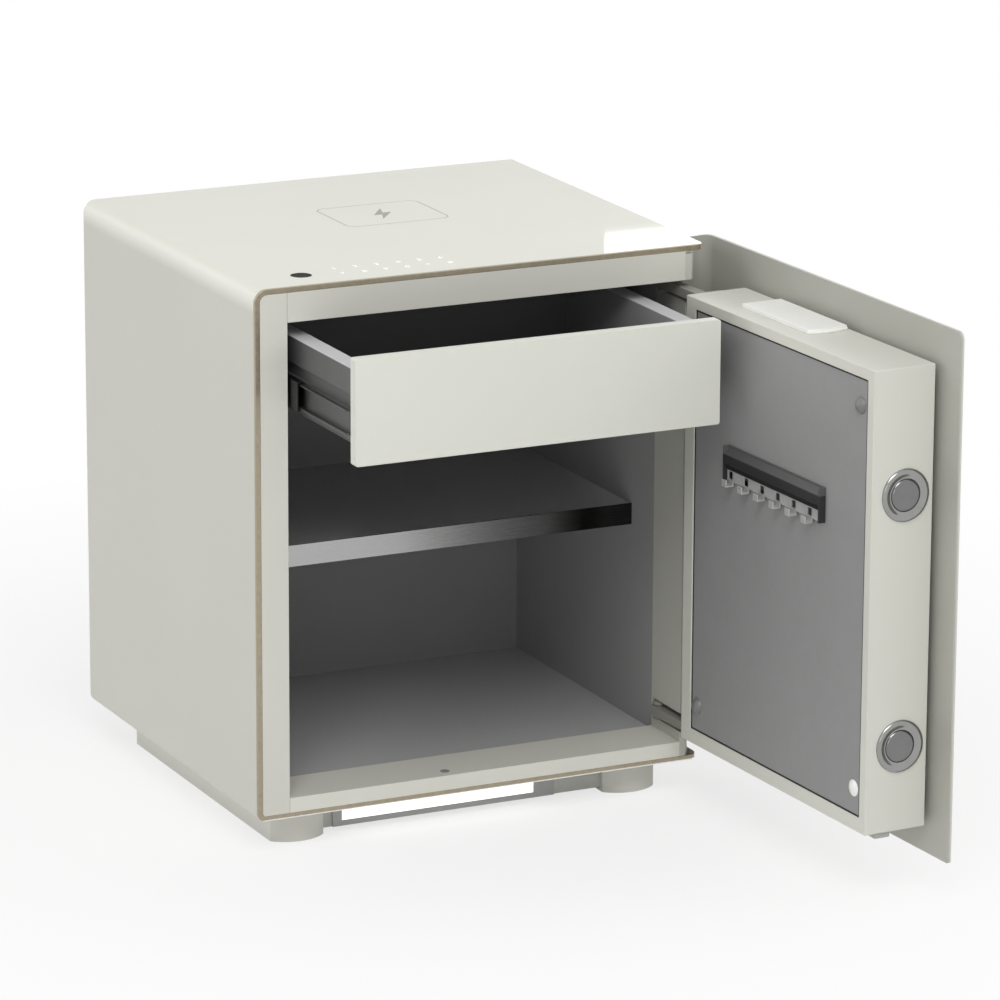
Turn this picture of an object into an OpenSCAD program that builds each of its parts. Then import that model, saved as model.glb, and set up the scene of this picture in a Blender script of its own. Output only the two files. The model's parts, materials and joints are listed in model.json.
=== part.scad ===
// Smart safe with its door swung open and its inner drawer pulled out.
// Millimetres. +X is the viewer's right, -Y is the front, +Z is up.
// The origin lies on the floor, under the middle of the body.
// Pieces are laid out from the body's left side, front plane and underside,
// with the door shut and the drawer in, and are then moved to their pose.

/* [Pose] */
// opening angle of the door
door_open_angle = 92.7; // [0:0.1:106]
// distance that the drawer is pulled out
drawer_out = 179.2; // [0:0.1:179.2]

/* [Body] */
// overall width
body_w = 400; // [360:5:460]
// overall depth
body_d = 367; // [340:1:420]
// height of the body without its skids
body_h = 445; // [430:5:520]
// radius of the left top edge
corner_top_r = 11; // [9:0.5:14]
// radius of the left bottom edge
corner_bottom_r = 7; // [6:0.5:10]
// how far the top plate and the foot reach past the right side, over the door's rolled edge
side_over = 4; // [3:0.5:6]
// radius of their front corner, seen from above
plate_corner_r = 9; // [7:0.5:12]
// thickness of the outer sheet
skin_t = 3; // [2:0.5:4]
// thickness of the glossy top plate
top_t = 4; // [3:0.5:6]
// how far the back panel sits in from the rear edge
back_recess = 1; // [0:0.5:4]
// width of the bronze edge trim
trim_w = 4.5; // [3.5:0.5:5]
// depth of the bronze edge trim
trim_d = 3; // [2:0.5:4]

/* [Front frame] */
// width of the left jamb
jamb_left_w = 28.2; // [27:0.2:32]
// width of the right jamb
jamb_right_w = 14; // [13:0.5:18]
// set-back of the right jamb's outer side, behind the door's rolled edge
jamb_side_inset = 5.4; // [5:0.2:7]
// chamfer on the right jamb's front corner
jamb_chamfer = 3; // [2:0.5:4]
// height of the lintel below the top surface
lintel_h = 29; // [27:1:40]
// height of the sill above the underside
sill_h = 17; // [15:1:22]
// depth of the painted reveal
frame_d = 52; // [50:1:64]
// thickness of the frame sheet
frame_t = 2; // [1.5:0.5:2.5]
// width of the seam between the left jamb and the lintel
seam_w = 0.9; // [0.5:0.1:1.5]
// width of the seam between the left jamb and the sill
seam_low_w = 0.5; // [0.3:0.1:1]
// depth of the seams
seam_d = 0.8; // [0.5:0.1:1.2]
// diameter of the strike holes that take the bolts
strike_d = 30; // [29:0.5:34]
// diameter of the sensor disc on the sill
sill_sensor_d = 8; // [5:0.5:12]
// height of the sensor disc on the sill
sill_sensor_h = 0.6; // [0.4:0.1:2]
// place of the sensor disc along the sill
sill_sensor_x = 173; // [60:1:340]
// place of the sensor disc behind the front plane
sill_sensor_y = 11; // [8:1:30]

/* [Inside] */
// height of the inner floor above the underside
floor_z = 14; // [12:1:17]
// distance of the inner back wall from the front plane
back_y = 315; // [312:1:330]
// thickness of the dark lining
lining_t = 1.5; // [1:0.5:3]
// thickness of the inner steel box
box_t = 2; // [1.5:0.5:3]
// height of the shelf's top
shelf_z = 202; // [120:1:260]
// distance of the shelf's front edge from the front plane
shelf_y = 94; // [85:1:140]
// thickness of the shelf plate
shelf_t = 3; // [2:0.5:4]
// height of the metal lip on the shelf
lip_h = 18.5; // [12:0.5:26]
// thickness of the metal lip
lip_t = 1.5; // [1:0.5:2]
// depth of the return under the metal lip
lip_return = 7; // [4:1:12]
// how far the metal lip stands above the shelf
lip_up = 0.5; // [0.2:0.1:1]
// distance of the shelf's angle brackets behind the metal lip
bracket_gap = 8; // [4:1:20]
// leg length of the shelf's angle brackets
bracket_leg = 14; // [8:1:20]
// thickness of the shelf's angle brackets
bracket_t = 2; // [1.5:0.5:3]

/* [Top controls] */
// diameter of the fingerprint sensor
sensor_d = 17.6; // [14:0.1:24]
// depth of the fingerprint sensor in the top plate
sensor_depth = 1.5; // [1:0.5:2.5]
// fingerprint sensor's distance from the left side
sensor_x = 55.8; // [40:0.2:70]
// fingerprint sensor's distance from the front plane
sensor_y = 35; // [25:0.5:60]
// clearance round the fingerprint sensor
sensor_gap = 0.1; // [0.05:0.05:0.3]
// number of touch keys in each row
keys_per_row = 6; // [3:1:7]
// spacing of the touch keys
key_pitch = 19; // [16:0.5:22]
// spacing of the two rows of touch keys
key_row_pitch = 18.6; // [14:0.2:24]
// diameter of a touch key mark
key_d = 6; // [4:0.5:10]
// height of the touch keys above the top plate, and depth of the charging mark in it
mark_h = 0.2; // [0.1:0.1:0.4]
// first touch key's distance from the left side
key_x = 89.3; // [80:0.1:110]
// front row's distance from the front plane
key_y = 26.9; // [20:0.1:40]
// width of the charging area's outline
charge_w = 94; // [70:0.5:120]
// depth of the charging area's outline
charge_d = 75; // [50:0.5:90]
// corner radius of the charging area's outline
charge_r = 9; // [4:0.5:15]
// line width of the charging area's outline
charge_line = 1; // [0.6:0.1:2]
// middle of the charging area from the left side
charge_x = 209.8; // [160:0.1:260]
// middle of the charging area from the front plane
charge_y = 214.7; // [150:0.1:260]
// length of the small flash mark
flash_l = 38; // [20:1:48]

/* [Base] */
// height of the skids
skid_h = 30; // [20:1:45]
// width of a skid
skid_w = 48; // [38:1:60]
// radius of a skid's bowed ends
skid_bow = 34; // [32:1:60]
// distance of a skid's outer side from the edge of the top plate
skid_inset = 25; // [18:1:40]
// distance of a skid's front tip from the front plane
skid_front = 24; // [20:1:45]
// distance of a skid's rear tip from the rear edge
skid_rear = 34; // [20:1:60]
// diameter of the floor anchor holes
anchor_d = 10; // [8:0.5:14]
// distance of the floor anchor holes from the body's middle, side to side
anchor_x = 152; // [146:1:160]
// distance of the floor anchor holes from the body's middle, front to back
anchor_y = 108; // [80:1:120]
// front face of the cross bar behind the front plane
bar_y = 38; // [36:1:60]
// depth of the cross bar
bar_d = 14; // [10:1:30]
// height of the cross bar
bar_h = 26.5; // [18:0.5:29.5]
// thickness of the cross bar's sheet
bar_t = 2; // [1.5:0.5:3]
// left end of the night light's housing
light_x = 82.5; // [80:0.5:110]
// length of the night light's housing
light_l = 204; // [190:1:230]
// depth of the night light's housing
light_d = 2; // [1.5:0.5:6]
// height of the night light's housing
light_h = 26.5; // [18:0.5:29.5]
// length of the white diffuser
diffuser_l = 176; // [120:1:200]
// rim left of the diffuser
light_rim = 8.5; // [3:0.5:12]
// rim above the diffuser
light_rim_top = 2; // [1:0.5:4]
// rim below the diffuser
light_rim_bottom = 4.8; // [3:0.2:7]
// depth of the diffuser
diffuser_d = 1.2; // [0.8:0.2:1.4]

/* [Rear] */
// diameter of the power inlet's flange
inlet_d = 14; // [12:0.5:20]
// diameter of the power inlet's barrel
inlet_barrel_d = 11; // [9:0.5:12]
// length of the power inlet's barrel
inlet_l = 14; // [10:1:18]
// bore of the power inlet
inlet_bore = 7; // [6:0.5:8]
// power inlet's distance from the left side
inlet_x = 350; // [300:1:370]
// power inlet's height above the underside
inlet_z = 40; // [25:1:100]

/* [Door] */
// how far the closed outer panel stands in front of the front plane
panel_proud = 6.2; // [5:0.1:8]
// thickness of the outer panel
panel_t = 3; // [2:0.5:3.5]
// gap between the outer panel and the trim
panel_gap = 0.3; // [0.2:0.1:1]
// outer radius of the rolled hinge edge
roll_r = 15; // [12:0.5:18]
// end of the rolled edge's side flange behind the front plane
flange_y = 25; // [18:0.5:26]
// gap between the side flange and the body's side sheet
flange_gap = 3; // [2.5:0.5:5]
// clearance of the casing's lock side in the opening
casing_gap = 3; // [2.6:0.2:6]
// width of the casing
casing_w = 290.8; // [250:0.2:296]
// front face of the casing behind the front plane
casing_front = 2.7; // [2:0.1:5]
// inner face of the casing behind the front plane
casing_back = 59; // [52:0.5:60]
// clearance of the casing above the sill
casing_low = 13; // [6:0.5:16]
// clearance of the casing below the lintel
casing_high = 5.5; // [5:0.5:8]
// thickness of the casing's sheet
casing_t = 2; // [1.5:0.5:3]
// width of the inner face's rim on the lock side, and on top
rim_w = 9.5; // [8:0.5:14]
// width of the inner face's rim at the bottom
rim_low = 12.5; // [8:0.5:18]
// width of the inner face's rim on the hinge side
rim_hinge = 15.5; // [10:0.5:20]
// depth of the inner face's rim
rim_d = 5.5; // [5:0.5:8]
// width of the ledge that carries the back plate
ledge_w = 3; // [2:0.5:5]
// width of the black gasket line
gasket_w = 1.2; // [0.8:0.1:2]
// thickness of the back plate
plate_t = 2; // [1.5:0.5:2.5]
// set-back of the back plate in the rim
plate_recess = 1; // [0.5:0.5:1.5]
// distance of the spacer frame from the casing's edges
spacer_in = 14; // [10:1:30]
// width of the spacer frame
spacer_w = 12; // [8:1:20]
// diameter of the round panel caps
cap_d = 14; // [9:0.5:16]
// height of a panel cap's dome
cap_h = 5; // [2:0.5:6]
// height of the flat white cap
flat_cap_h = 2; // [1:0.5:3.5]
// distance of the cap centres from the back plate's sides
cap_in = 10; // [8:0.5:14]
// distance of the cap centres from the back plate's top and bottom
cap_end = 22; // [16:1:30]
// left end of the battery cover on the casing's top
cover_x = 158; // [140:1:170]
// front edge of the battery cover behind the front plane
cover_y = 5; // [3:0.5:8]
// length of the battery cover
cover_l = 104; // [80:1:120]
// width of the battery cover
cover_w = 37; // [28:1:42]
// height of the battery cover
cover_h = 3.5; // [2.5:0.5:4.5]
// height of the battery cover's lid above its base
lid_h = 1.5; // [1:0.5:2]
// how far the battery cover's end bows out
cover_bow = 3.5; // [2:0.5:6]
// set-back of the lid from the base at the bowed end
lid_in = 1.5; // [1:0.5:3]
// length of the glide pad under the casing
glide_l = 14; // [8:1:20]
// width of the glide pad under the casing
glide_w = 10; // [6:1:14]
// height of the glide pad
glide_h = 5; // [1.5:0.5:8]
// distance of the glide pad from the casing's lock side
glide_in = 2; // [1:0.5:6]
// distance of the glide pad from the casing's inner face
glide_back = 11; // [6:1:20]

/* [Hook rail] */
// height of the key hook rail
rail_h = 29; // [24:1:34]
// depth of the key hook rail
rail_d = 6.5; // [5:0.5:9]
// top of the key hook rail below the casing's top
rail_drop = 110.5; // [60:0.5:160]
// left end of the key hook rail
rail_x = 101; // [80:1:120]
// thickness of the key hook rail's sheet
rail_t = 1.5; // [1:0.5:2]
// width of the rail's end cheeks
cheek_w = 1.5; // [1:0.5:4]
// height of the rail's front band
band_h = 8.5; // [6:0.5:12]
// fall of the rail's top from the back plate to the band
rail_slope = 6; // [2:0.5:8]
// number of key hooks
hook_count = 6; // [4:1:6]
// spacing of the key hooks
hook_pitch = 24.7; // [18:0.1:25]
// distance of the first key hook from the rail's left end
hook_in = 20; // [12:0.5:20]
// distance of the last key hook from the rail's right end
hook_out = 6.5; // [6.5:0.5:20]
// width of a key hook
hook_w = 7; // [5:0.5:12]
// reach of a key hook from the back plate
hook_reach = 9; // [8:0.5:14]
// height of a key hook's upturned end
hook_h = 6; // [4:0.5:12]
// how far the key hooks hang below the rail
hook_drop = 4; // [3:0.5:8]
// thickness of the key hooks' sheet
hook_t = 1.2; // [1:0.1:1.5]
// width of the windows above the key hooks
window_w = 6.5; // [4:0.5:7.5]
// height of the windows above the key hooks
window_h = 6.5; // [4:0.5:8]
// bridge between a window and its key hook
window_bridge = 1.5; // [1:0.5:3]

/* [Lock] */
// diameter of the lock bolts
bolt_d = 27; // [20:1:28]
// running clearance of a bolt in its sleeve, on the radius
bolt_run = 0.05; // [0.03:0.01:0.1]
// diameter of the bolt's ring flange
bezel_d = 43.5; // [38:0.5:48]
// wall of the bolt's sleeve
sleeve_t = 2.5; // [2:0.5:3]
// height of the ring above the casing
bezel_t = 2.1; // [1.5:0.1:2.3]
// height of the ring's outer edge
bezel_edge = 0.6; // [0.3:0.1:1]
// width of the bevel round the ring
bezel_bevel = 2.2; // [1:0.1:3]
// chamfer at the mouth of the ring's bore
bezel_mouth = 0.8; // [0.4:0.1:1.2]
// length of the bolt's sleeve
sleeve_l = 20; // [14:1:24]
// middle of the bolts behind the front plane
bolt_y = 28; // [25:0.5:34]
// upper bolt's distance below the casing's top
bolt_top = 103.5; // [80:0.5:140]
// lower bolt's height above the casing's foot
bolt_bottom = 70.5; // [50:0.5:110]
// length of the chamfer on a bolt's tip
bolt_chamfer = 1.5; // [1:0.5:3]
// length of a bolt
bolt_l = 60; // [50:1:70]
// travel of the bolts
bolt_travel = 20; // [14:1:22]
// how far a drawn bolt sits inside its ring
bolt_sunk = 0.3; // [0.1:0.1:1]
// thickness of the bar that joins the bolts
yoke_t = 8; // [5:0.5:10]
// width of the bar that joins the bolts
yoke_w = 16; // [12:1:22]
// length of the lock's gear motor
motor_l = 60; // [40:1:80]
// diameter of the lock's gear motor
motor_d = 24; // [18:1:30]
// how far the gearbox reaches past the motor on each side
gearbox_over = 4; // [2:0.5:6]
// clearance between the gearbox and the bar
motor_gap = 1; // [0.5:0.5:3]

/* [Hinge] */
// pivot's distance from the right jamb's inner face
pivot_in = 2.1; // [1.5:0.1:2.4]
// pivot's distance behind the front plane
pivot_y = 41.8; // [40:0.1:43]
// diameter of the hinge pins
pin_d = 6; // [5:0.5:7]
// running clearance of a hinge pin, on the radius
pin_run = 0.06; // [0.03:0.01:0.1]
// thickness of a hinge arm
arm_t = 8; // [6:0.5:10]
// width of a hinge arm on the pivot's front side
arm_front = 3; // [2.4:0.1:3.2]
// width of a hinge arm on the pivot's rear side
arm_rear = 7.5; // [6:0.1:7.8]
// radius of a hinge arm's eye
eye_r = 6.5; // [5.5:0.1:6.8]
// upper face of the top arm, down from the top surface
arm_drop = 35; // [34:0.5:40]
// height of an arm's screwed foot
foot_l = 30; // [22:1:40]
// thickness of an arm's screwed foot
foot_t = 3; // [2:0.5:5]
// width of an arm's screwed foot
foot_w = 24; // [18:1:26]
// thickness of the fixed hinge plates
hinge_plate_t = 2.7; // [2:0.1:4]
// thickness of the brass washers
washer_t = 1; // [0.8:0.1:1.5]
// clearance between a hinge arm and its neighbours, up and down
hinge_play = 0.4; // [0.3:0.1:0.8]
// diameter of the hinge screws' heads
screw_d = 7; // [5:0.5:9]
// height of the hinge screws' heads
screw_h = 2; // [1.5:0.5:3]
// distance of the hinge screws from the foot's ends
screw_in = 6; // [5:0.5:8]

/* [Drawer] */
// width of the drawer's front panel
front_w = 322.4; // [300:0.2:323]
// height of the drawer's front panel
front_h = 87; // [70:1:90]
// thickness of the drawer's front panel
front_t = 10; // [8:0.5:14]
// clearance above the drawer's front panel in the opening
front_drop = 4.6; // [3:0.2:8]
// gap between the shut door and the drawer's front panel
front_gap = 3.1; // [2.9:0.1:8]
// how far the front panel reaches past the drawer's left side
front_over = 1.5; // [1:0.1:1.7]
// corner radius of the drawer's front panel
front_r = 2; // [1:0.5:4]
// thickness of the drawer's sheet
drawer_t = 1.5; // [1:0.5:2]
// width of the drawer's box
drawer_w = 319; // [280:1:320]
// length of the drawer's box
drawer_l = 236; // [225:1:240]
// height of the drawer's side walls
side_h = 59; // [45:1:62]
// width of the drawer's side walls
side_w = 15; // [11:0.5:18]
// clearance above the drawer's side walls in the opening
side_drop = 14; // [12:0.5:18]
// depth of the groove along the side walls
groove_d = 2.5; // [1:0.5:4]
// height of the groove along the side walls
groove_h = 10; // [6:1:12]
// height of the groove above the side wall's foot
groove_z = 27; // [26:1:34]
// height of the drawer's rear wall
rear_h = 52; // [30:1:56]
// thickness of the drawer's mat
mat_t = 2; // [1:0.5:3]

/* [Drawer slides] */
// width of the gap that a slide fills
slide_gap = 8.4; // [8:0.1:9]
// height of a slide
slide_h = 27; // [25:0.5:28]
// thickness of a slide's sheet
slide_t = 1.2; // [1:0.1:1.3]
// clearance between a slide's members
slide_play = 0.5; // [0.35:0.05:0.6]
// length of a slide
slide_l = 230; // [200:1:232]
// distance of the slides behind the drawer's front panel
slide_set = 2; // [1:0.5:4]
// height of the slides above the side walls' feet
slide_up = 2; // [1:0.5:4]
// clearance of a slide's middle member from the drawer's side
slide_free = 0.4; // [0.3:0.1:0.6]
// distance of a slide runner's web from the slide's top and foot
web_in = 2; // [1.5:0.5:3]
// thickness of the spacer channel beside the right slide
channel_t = 2; // [1.5:0.5:3]
// how far the spacer channel reaches past the slide, up and down
channel_over = 5; // [3:0.5:8]

/* [Hidden] */
$fn = 64;
// opening in the front frame
open_x0 = jamb_left_w;
open_x1 = body_w - jamb_right_w;
open_z0 = sill_h;
open_z1 = body_h - lintel_h;
shell_h = body_h - top_t;
inner_r_top = corner_top_r - skin_t;
inner_r_bottom = corner_bottom_r - skin_t;
over_x = body_w + side_over;
right_skid_x = over_x - skid_inset - skid_w;
jamb_side_x = body_w - jamb_side_inset;
side_start = flange_y + flange_gap;
// pivot of the door
pivot_x = open_x1 + pivot_in;
// closed door
panel_x0 = trim_w + panel_gap;
panel_z0 = trim_w + panel_gap;
panel_z1 = body_h - trim_w - panel_gap;
panel_back = panel_t - panel_proud;
casing_x0 = open_x0 + casing_gap;
casing_x1 = casing_x0 + casing_w;
casing_z0 = open_z0 + casing_low;
casing_z1 = open_z1 - casing_high;
// field inside the rim of the door's inner face
field_x0 = casing_x0 + rim_w;
field_x1 = casing_x1 - rim_hinge;
field_z0 = casing_z0 + rim_low;
field_z1 = casing_z1 - rim_w;
plate_y = casing_back - plate_recess;
rail_z = casing_z1 - rail_drop - rail_h;
rail_l = hook_in + (hook_count - 1) * hook_pitch + hook_out;
hook_y = plate_y + rail_t;
band_z = rail_z + rail_h - rail_slope - band_h;
bolt_z_high = casing_z1 - bolt_top;
bolt_z_low = casing_z0 + bolt_bottom;
strike_r = strike_d / 2;
// hinge heights
arm_top_z = body_h - arm_drop - arm_t;
arm_low_z = casing_z0;
hinge_stack = washer_t + hinge_plate_t + hinge_play;
// drawer shut
drawer_front_y = casing_back + front_gap;
drawer_y = drawer_front_y + front_t;
drawer_x0 = open_x0 + slide_gap;
drawer_x1 = drawer_x0 + drawer_w;
front_x0 = drawer_x0 - front_over;
front_x1 = front_x0 + front_w;
front_z = open_z1 - front_drop - front_h;
side_z = open_z1 - side_drop - side_h;
drawer_z = side_z - drawer_t;
slide_y = drawer_y + slide_set;
slide_z = side_z + slide_up;
channel_x = drawer_x1 + slide_gap;
// The drawer stays behind the door's inner face while the door is less than square.
reach = pivot_x - front_x1;
face = casing_back - pivot_y + front_gap;
free_y = pivot_y + (face - reach * sin(door_open_angle)) / max(cos(door_open_angle), 0.001);
out_now = door_open_angle < 90 ? min(drawer_out, max(0, drawer_front_y - free_y)) : drawer_out;

// places and sweeps
module body_space() {
    translate([-body_w / 2, -body_d / 2, skid_h])
        children();
}

module door_space() {
    body_space()
        translate([pivot_x, pivot_y, 0])
            rotate([0, 0, door_open_angle])
                translate([-pivot_x, -pivot_y, 0])
                    children();
}

module drawer_space(share = 1) {
    body_space()
        translate([0, -out_now * share, 0])
            children();
}

// a front-view outline swept from y, to the rear
module sweep_y(y, l) {
    translate([0, y + l, 0])
        rotate([90, 0, 0])
            linear_extrude(l)
                children();
}

// a side-view outline swept from x, to the right
module sweep_x(x, l) {
    translate([x, 0, 0])
        rotate([90, 0, 90])
            linear_extrude(l)
                children();
}

module block(x0, y0, z0, x1, y1, z1) {
    translate([x0, y0, z0])
        cube([x1 - x0, y1 - y0, z1 - z0]);
}

module panel2d(x0, z0, x1, z1) {
    translate([x0, z0])
        square([x1 - x0, z1 - z0]);
}

// rectangle with its own radii at the bottom and at the top
module rounded2d(x0, z0, x1, z1, rb, rt) {
    panel2d(x0 + rb, z0, x1 - rb, z0 + rb);
    panel2d(x0, z0 + rb, x1, z1 - rt);
    panel2d(x0 + rt, z1 - rt, x1 - rt, z1);
    for (x = [x0 + rb, x1 - rb])
        translate([x, z0 + rb])
            circle(rb);
    for (x = [x0 + rt, x1 - rt])
        translate([x, z1 - rt])
            circle(rt);
}

// rectangle with its own radii at the left bottom and left top, and square on the right
module left_rounded2d(x0, z0, x1, z1, rb, rt) {
    panel2d(x0 + rb, z0, x1, z0 + rb);
    panel2d(x0, z0 + rb, x1, z1 - rt);
    panel2d(x0 + rt, z1 - rt, x1, z1);
    translate([x0 + rb, z0 + rb])
        circle(rb);
    translate([x0 + rt, z1 - rt])
        circle(rt);
}

module body2d(inset = 0, over = 0) {
    left_rounded2d(inset, inset, body_w + over - inset, body_h - inset, corner_bottom_r - inset,
        corner_top_r - inset);
}

module cavity2d() {
    left_rounded2d(skin_t, skin_t, body_w - skin_t, shell_h - skin_t, inner_r_bottom, inner_r_top);
}

// plan of the plates that cover the door's rolled edge above and below
module plate_plan() {
    r = plate_corner_r;
    panel2d(0, 0, over_x - r, body_d);
    panel2d(over_x - r, r, over_x, body_d);
    translate([over_x - r, r])
        circle(r);
}

// what the front frame may fill: inside the trim, then inside the shell
module frame_room() {
    sweep_y(0, trim_d)
        body2d(trim_w);
    sweep_y(trim_d, frame_d - trim_d)
        cavity2d();
}

// body
module outer_shell() {
    color([0.80, 0.80, 0.76])
        body_space()
            difference() {
                union() {
                    intersection() {
                        sweep_y(trim_d, body_d - trim_d)
                            body2d();
                        block(0, 0, 0, body_w, body_d, shell_h);
                    }
                    intersection() {
                        linear_extrude(trim_w)
                            plate_plan();
                        block(body_w - skin_t, trim_d, 0, over_x, body_d, trim_w);
                    }
                }
                sweep_y(0, body_d + 1)
                    cavity2d();
                block(jamb_side_x, 0, trim_w, body_w + 1, side_start, shell_h + 1);
                anchor_holes(-1, skin_t + 1);
            }
}

module top_panel() {
    color([0.92, 0.92, 0.88])
        body_space()
            difference() {
                intersection() {
                    sweep_y(trim_d, body_d - trim_d)
                        body2d(0, side_over);
                    translate([0, 0, shell_h])
                        linear_extrude(top_t)
                            plate_plan();
                }
                translate([sensor_x, sensor_y, body_h - sensor_depth])
                    cylinder(h = sensor_depth + 1, d = sensor_d);
                charging_lines(mark_h + 1);
            }
}

module back_panel() {
    color([0.75, 0.75, 0.72])
        body_space()
            difference() {
                sweep_y(body_d - back_recess - skin_t, skin_t)
                    cavity2d();
                sweep_y(0, body_d)
                    translate([inlet_x, inlet_z])
                        circle(d = inlet_barrel_d);
            }
}

module front_trim() {
    color([0.66, 0.60, 0.50])
        body_space()
            difference() {
                intersection() {
                    sweep_y(0, trim_d)
                        difference() {
                            body2d(0, side_over);
                            body2d(trim_w);
                        }
                    linear_extrude(body_h)
                        plate_plan();
                }
                block(body_w - jamb_right_w, -1, trim_w, over_x + 1, trim_d + 1, body_h - trim_w);
            }
}

// grooves where the left jamb meets the lintel and the sill
module seams() {
    block(open_x0 - seam_w / 2, -1, open_z1, open_x0 + seam_w / 2, seam_d, body_h);
    block(open_x0 - seam_low_w / 2, -1, 0, open_x0 + seam_low_w / 2, seam_d, open_z0);
}

module left_jamb() {
    x1 = open_x0;
    color([0.82, 0.81, 0.77])
        body_space()
            intersection() {
                frame_room();
                difference() {
                    block(skin_t, 0, skin_t, x1, frame_d, shell_h);
                    block(skin_t + frame_t, frame_t, 0, x1 - frame_t, frame_d - frame_t, body_h);
                    seams();
                    for (z = [bolt_z_low, bolt_z_high])
                        translate([x1 - frame_t - 1, bolt_y, z])
                            rotate([0, 90, 0])
                                cylinder(h = frame_t + 2, r = strike_r);
                }
            }
}

module right_jamb() {
    x0 = open_x1;
    xs = jamb_side_x;
    xe = body_w - skin_t;
    c = jamb_chamfer;
    t = frame_t;
    color([0.82, 0.81, 0.77])
        body_space()
            intersection() {
                frame_room();
                difference() {
                    translate([0, 0, skin_t])
                        linear_extrude(shell_h - 2 * skin_t)
                            difference() {
                                polygon([[x0, 0], [xs - c, 0], [xs, c], [xs, side_start], [xe, side_start],
                                    [xe, frame_d], [x0, frame_d]]);
                                polygon([[x0 + t, t], [xs - c - t / 2, t], [xs - t, c + t / 2],
                                    [xs - t, side_start + t], [xe - t, side_start + t],
                                    [xe - t, frame_d - t], [x0 + t, frame_d - t]]);
                            }
                    block(x0 - 1, -1, arm_top_z - hinge_stack, xe, frame_d - t, open_z1);
                    block(x0 - 1, -1, arm_low_z - hinge_stack, xe, frame_d - t, arm_low_z + arm_t + hinge_stack);
                }
            }
}

module lintel() {
    color([0.78, 0.77, 0.73])
        body_space()
            intersection() {
                frame_room();
                difference() {
                    block(open_x0, 0, open_z1, open_x1, frame_d, body_h);
                    block(0, frame_t, open_z1 + frame_t, body_w, frame_d - frame_t, shell_h - skin_t - frame_t);
                    seams();
                }
            }
}

module sill() {
    color([0.80, 0.80, 0.76])
        body_space()
            intersection() {
                frame_room();
                difference() {
                    block(open_x0, 0, 0, open_x1, frame_d, open_z0);
                    block(0, frame_t, skin_t + frame_t, body_w, frame_d - frame_t, open_z0 - frame_t);
                    seams();
                }
            }
}

module inner_box() {
    w = lining_t + box_t;
    color([0.45, 0.45, 0.45])
        body_space()
            difference() {
                block(open_x0 - w, frame_d, floor_z - w, open_x1 + w, back_y + w, open_z1 + w);
                block(open_x0 - lining_t, 0, floor_z - lining_t, open_x1 + lining_t, back_y + lining_t,
                    open_z1 + lining_t);
                anchor_holes(floor_z - w - 1, w + 2);
            }
}

module interior_lining() {
    color([0.20, 0.20, 0.20])
        body_space()
            difference() {
                block(open_x0 - lining_t, frame_d, floor_z - lining_t, open_x1 + lining_t, back_y + lining_t,
                    open_z1 + lining_t);
                block(open_x0, 0, 0, open_x1, back_y, open_z1);
            }
}

module floor_mat() {
    color([0.30, 0.30, 0.30])
        body_space()
            block(open_x0, frame_d, floor_z - lining_t, open_x1, back_y, floor_z);
}

module shelf_plate() {
    color([0.30, 0.30, 0.31])
        body_space()
            block(open_x0, shelf_y, shelf_z - shelf_t, open_x1, back_y, shelf_z);
}

module shelf_lip() {
    z0 = shelf_z + lip_up - lip_h;
    y0 = shelf_y - lip_t;
    color([0.75, 0.75, 0.73])
        body_space()
            sweep_x(open_x0, open_x1 - open_x0) {
                panel2d(y0, z0, shelf_y, shelf_z + lip_up);
                panel2d(y0, z0, y0 + lip_return, z0 + lip_t);
            }
}

module shelf_brackets() {
    z1 = shelf_z - shelf_t;
    y0 = shelf_y + lip_return + bracket_gap;
    color([0.25, 0.25, 0.25])
        body_space() {
            sweep_y(y0, back_y - y0) {
                panel2d(open_x0, z1 - bracket_leg, open_x0 + bracket_t, z1);
                panel2d(open_x0, z1 - bracket_t, open_x0 + bracket_leg, z1);
            }
            sweep_y(y0, back_y - y0) {
                panel2d(open_x1 - bracket_t, z1 - bracket_leg, open_x1, z1);
                panel2d(open_x1 - bracket_leg, z1 - bracket_t, open_x1, z1);
            }
        }
}

// base
module anchor_holes(z, h) {
    for (x = [body_w / 2 - anchor_x, body_w / 2 + anchor_x])
        for (y = [body_d / 2 - anchor_y, body_d / 2 + anchor_y])
            translate([x, y, z])
                cylinder(h = h, d = anchor_d);
}

module skid(x) {
    y0 = skid_front + skid_bow;
    y1 = body_d - skid_rear - skid_bow;
    body_space()
        difference() {
            translate([x, 0, -skid_h])
                linear_extrude(skid_h)
                    intersection() {
                        panel2d(0, 0, skid_w, body_d);
                        union() {
                            panel2d(0, y0, skid_w, y1);
                            for (y = [y0, y1])
                                translate([skid_w / 2, y])
                                    circle(skid_bow);
                        }
                    }
            anchor_holes(-skid_h - 1, skid_h + 2);
        }
}

module left_skid() {
    color([0.74, 0.74, 0.70])
        skid(skid_inset);
}

module right_skid() {
    color([0.74, 0.74, 0.70])
        skid(right_skid_x);
}

module plinth_crossbar() {
    x0 = skid_inset + skid_w;
    color([0.68, 0.68, 0.65])
        body_space()
            sweep_x(x0, right_skid_x - x0)
                difference() {
                    panel2d(bar_y, -bar_h, bar_y + bar_d, 0);
                    panel2d(bar_y + bar_t, bar_t - bar_h, bar_y + bar_d + 1, -bar_t);
                }
}

module light_housing() {
    color([0.62, 0.62, 0.62])
        body_space()
            difference() {
                block(light_x, bar_y - light_d, -light_h, light_x + light_l, bar_y, 0);
                diffuser_block(1);
            }
}

module diffuser_block(proud = 0) {
    block(light_x + light_rim, bar_y - light_d - proud, light_rim_bottom - light_h,
        light_x + light_rim + diffuser_l, bar_y - light_d + diffuser_d, -light_rim_top);
}

module light_diffuser() {
    color([1, 1, 1])
        body_space()
            diffuser_block();
}

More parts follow.
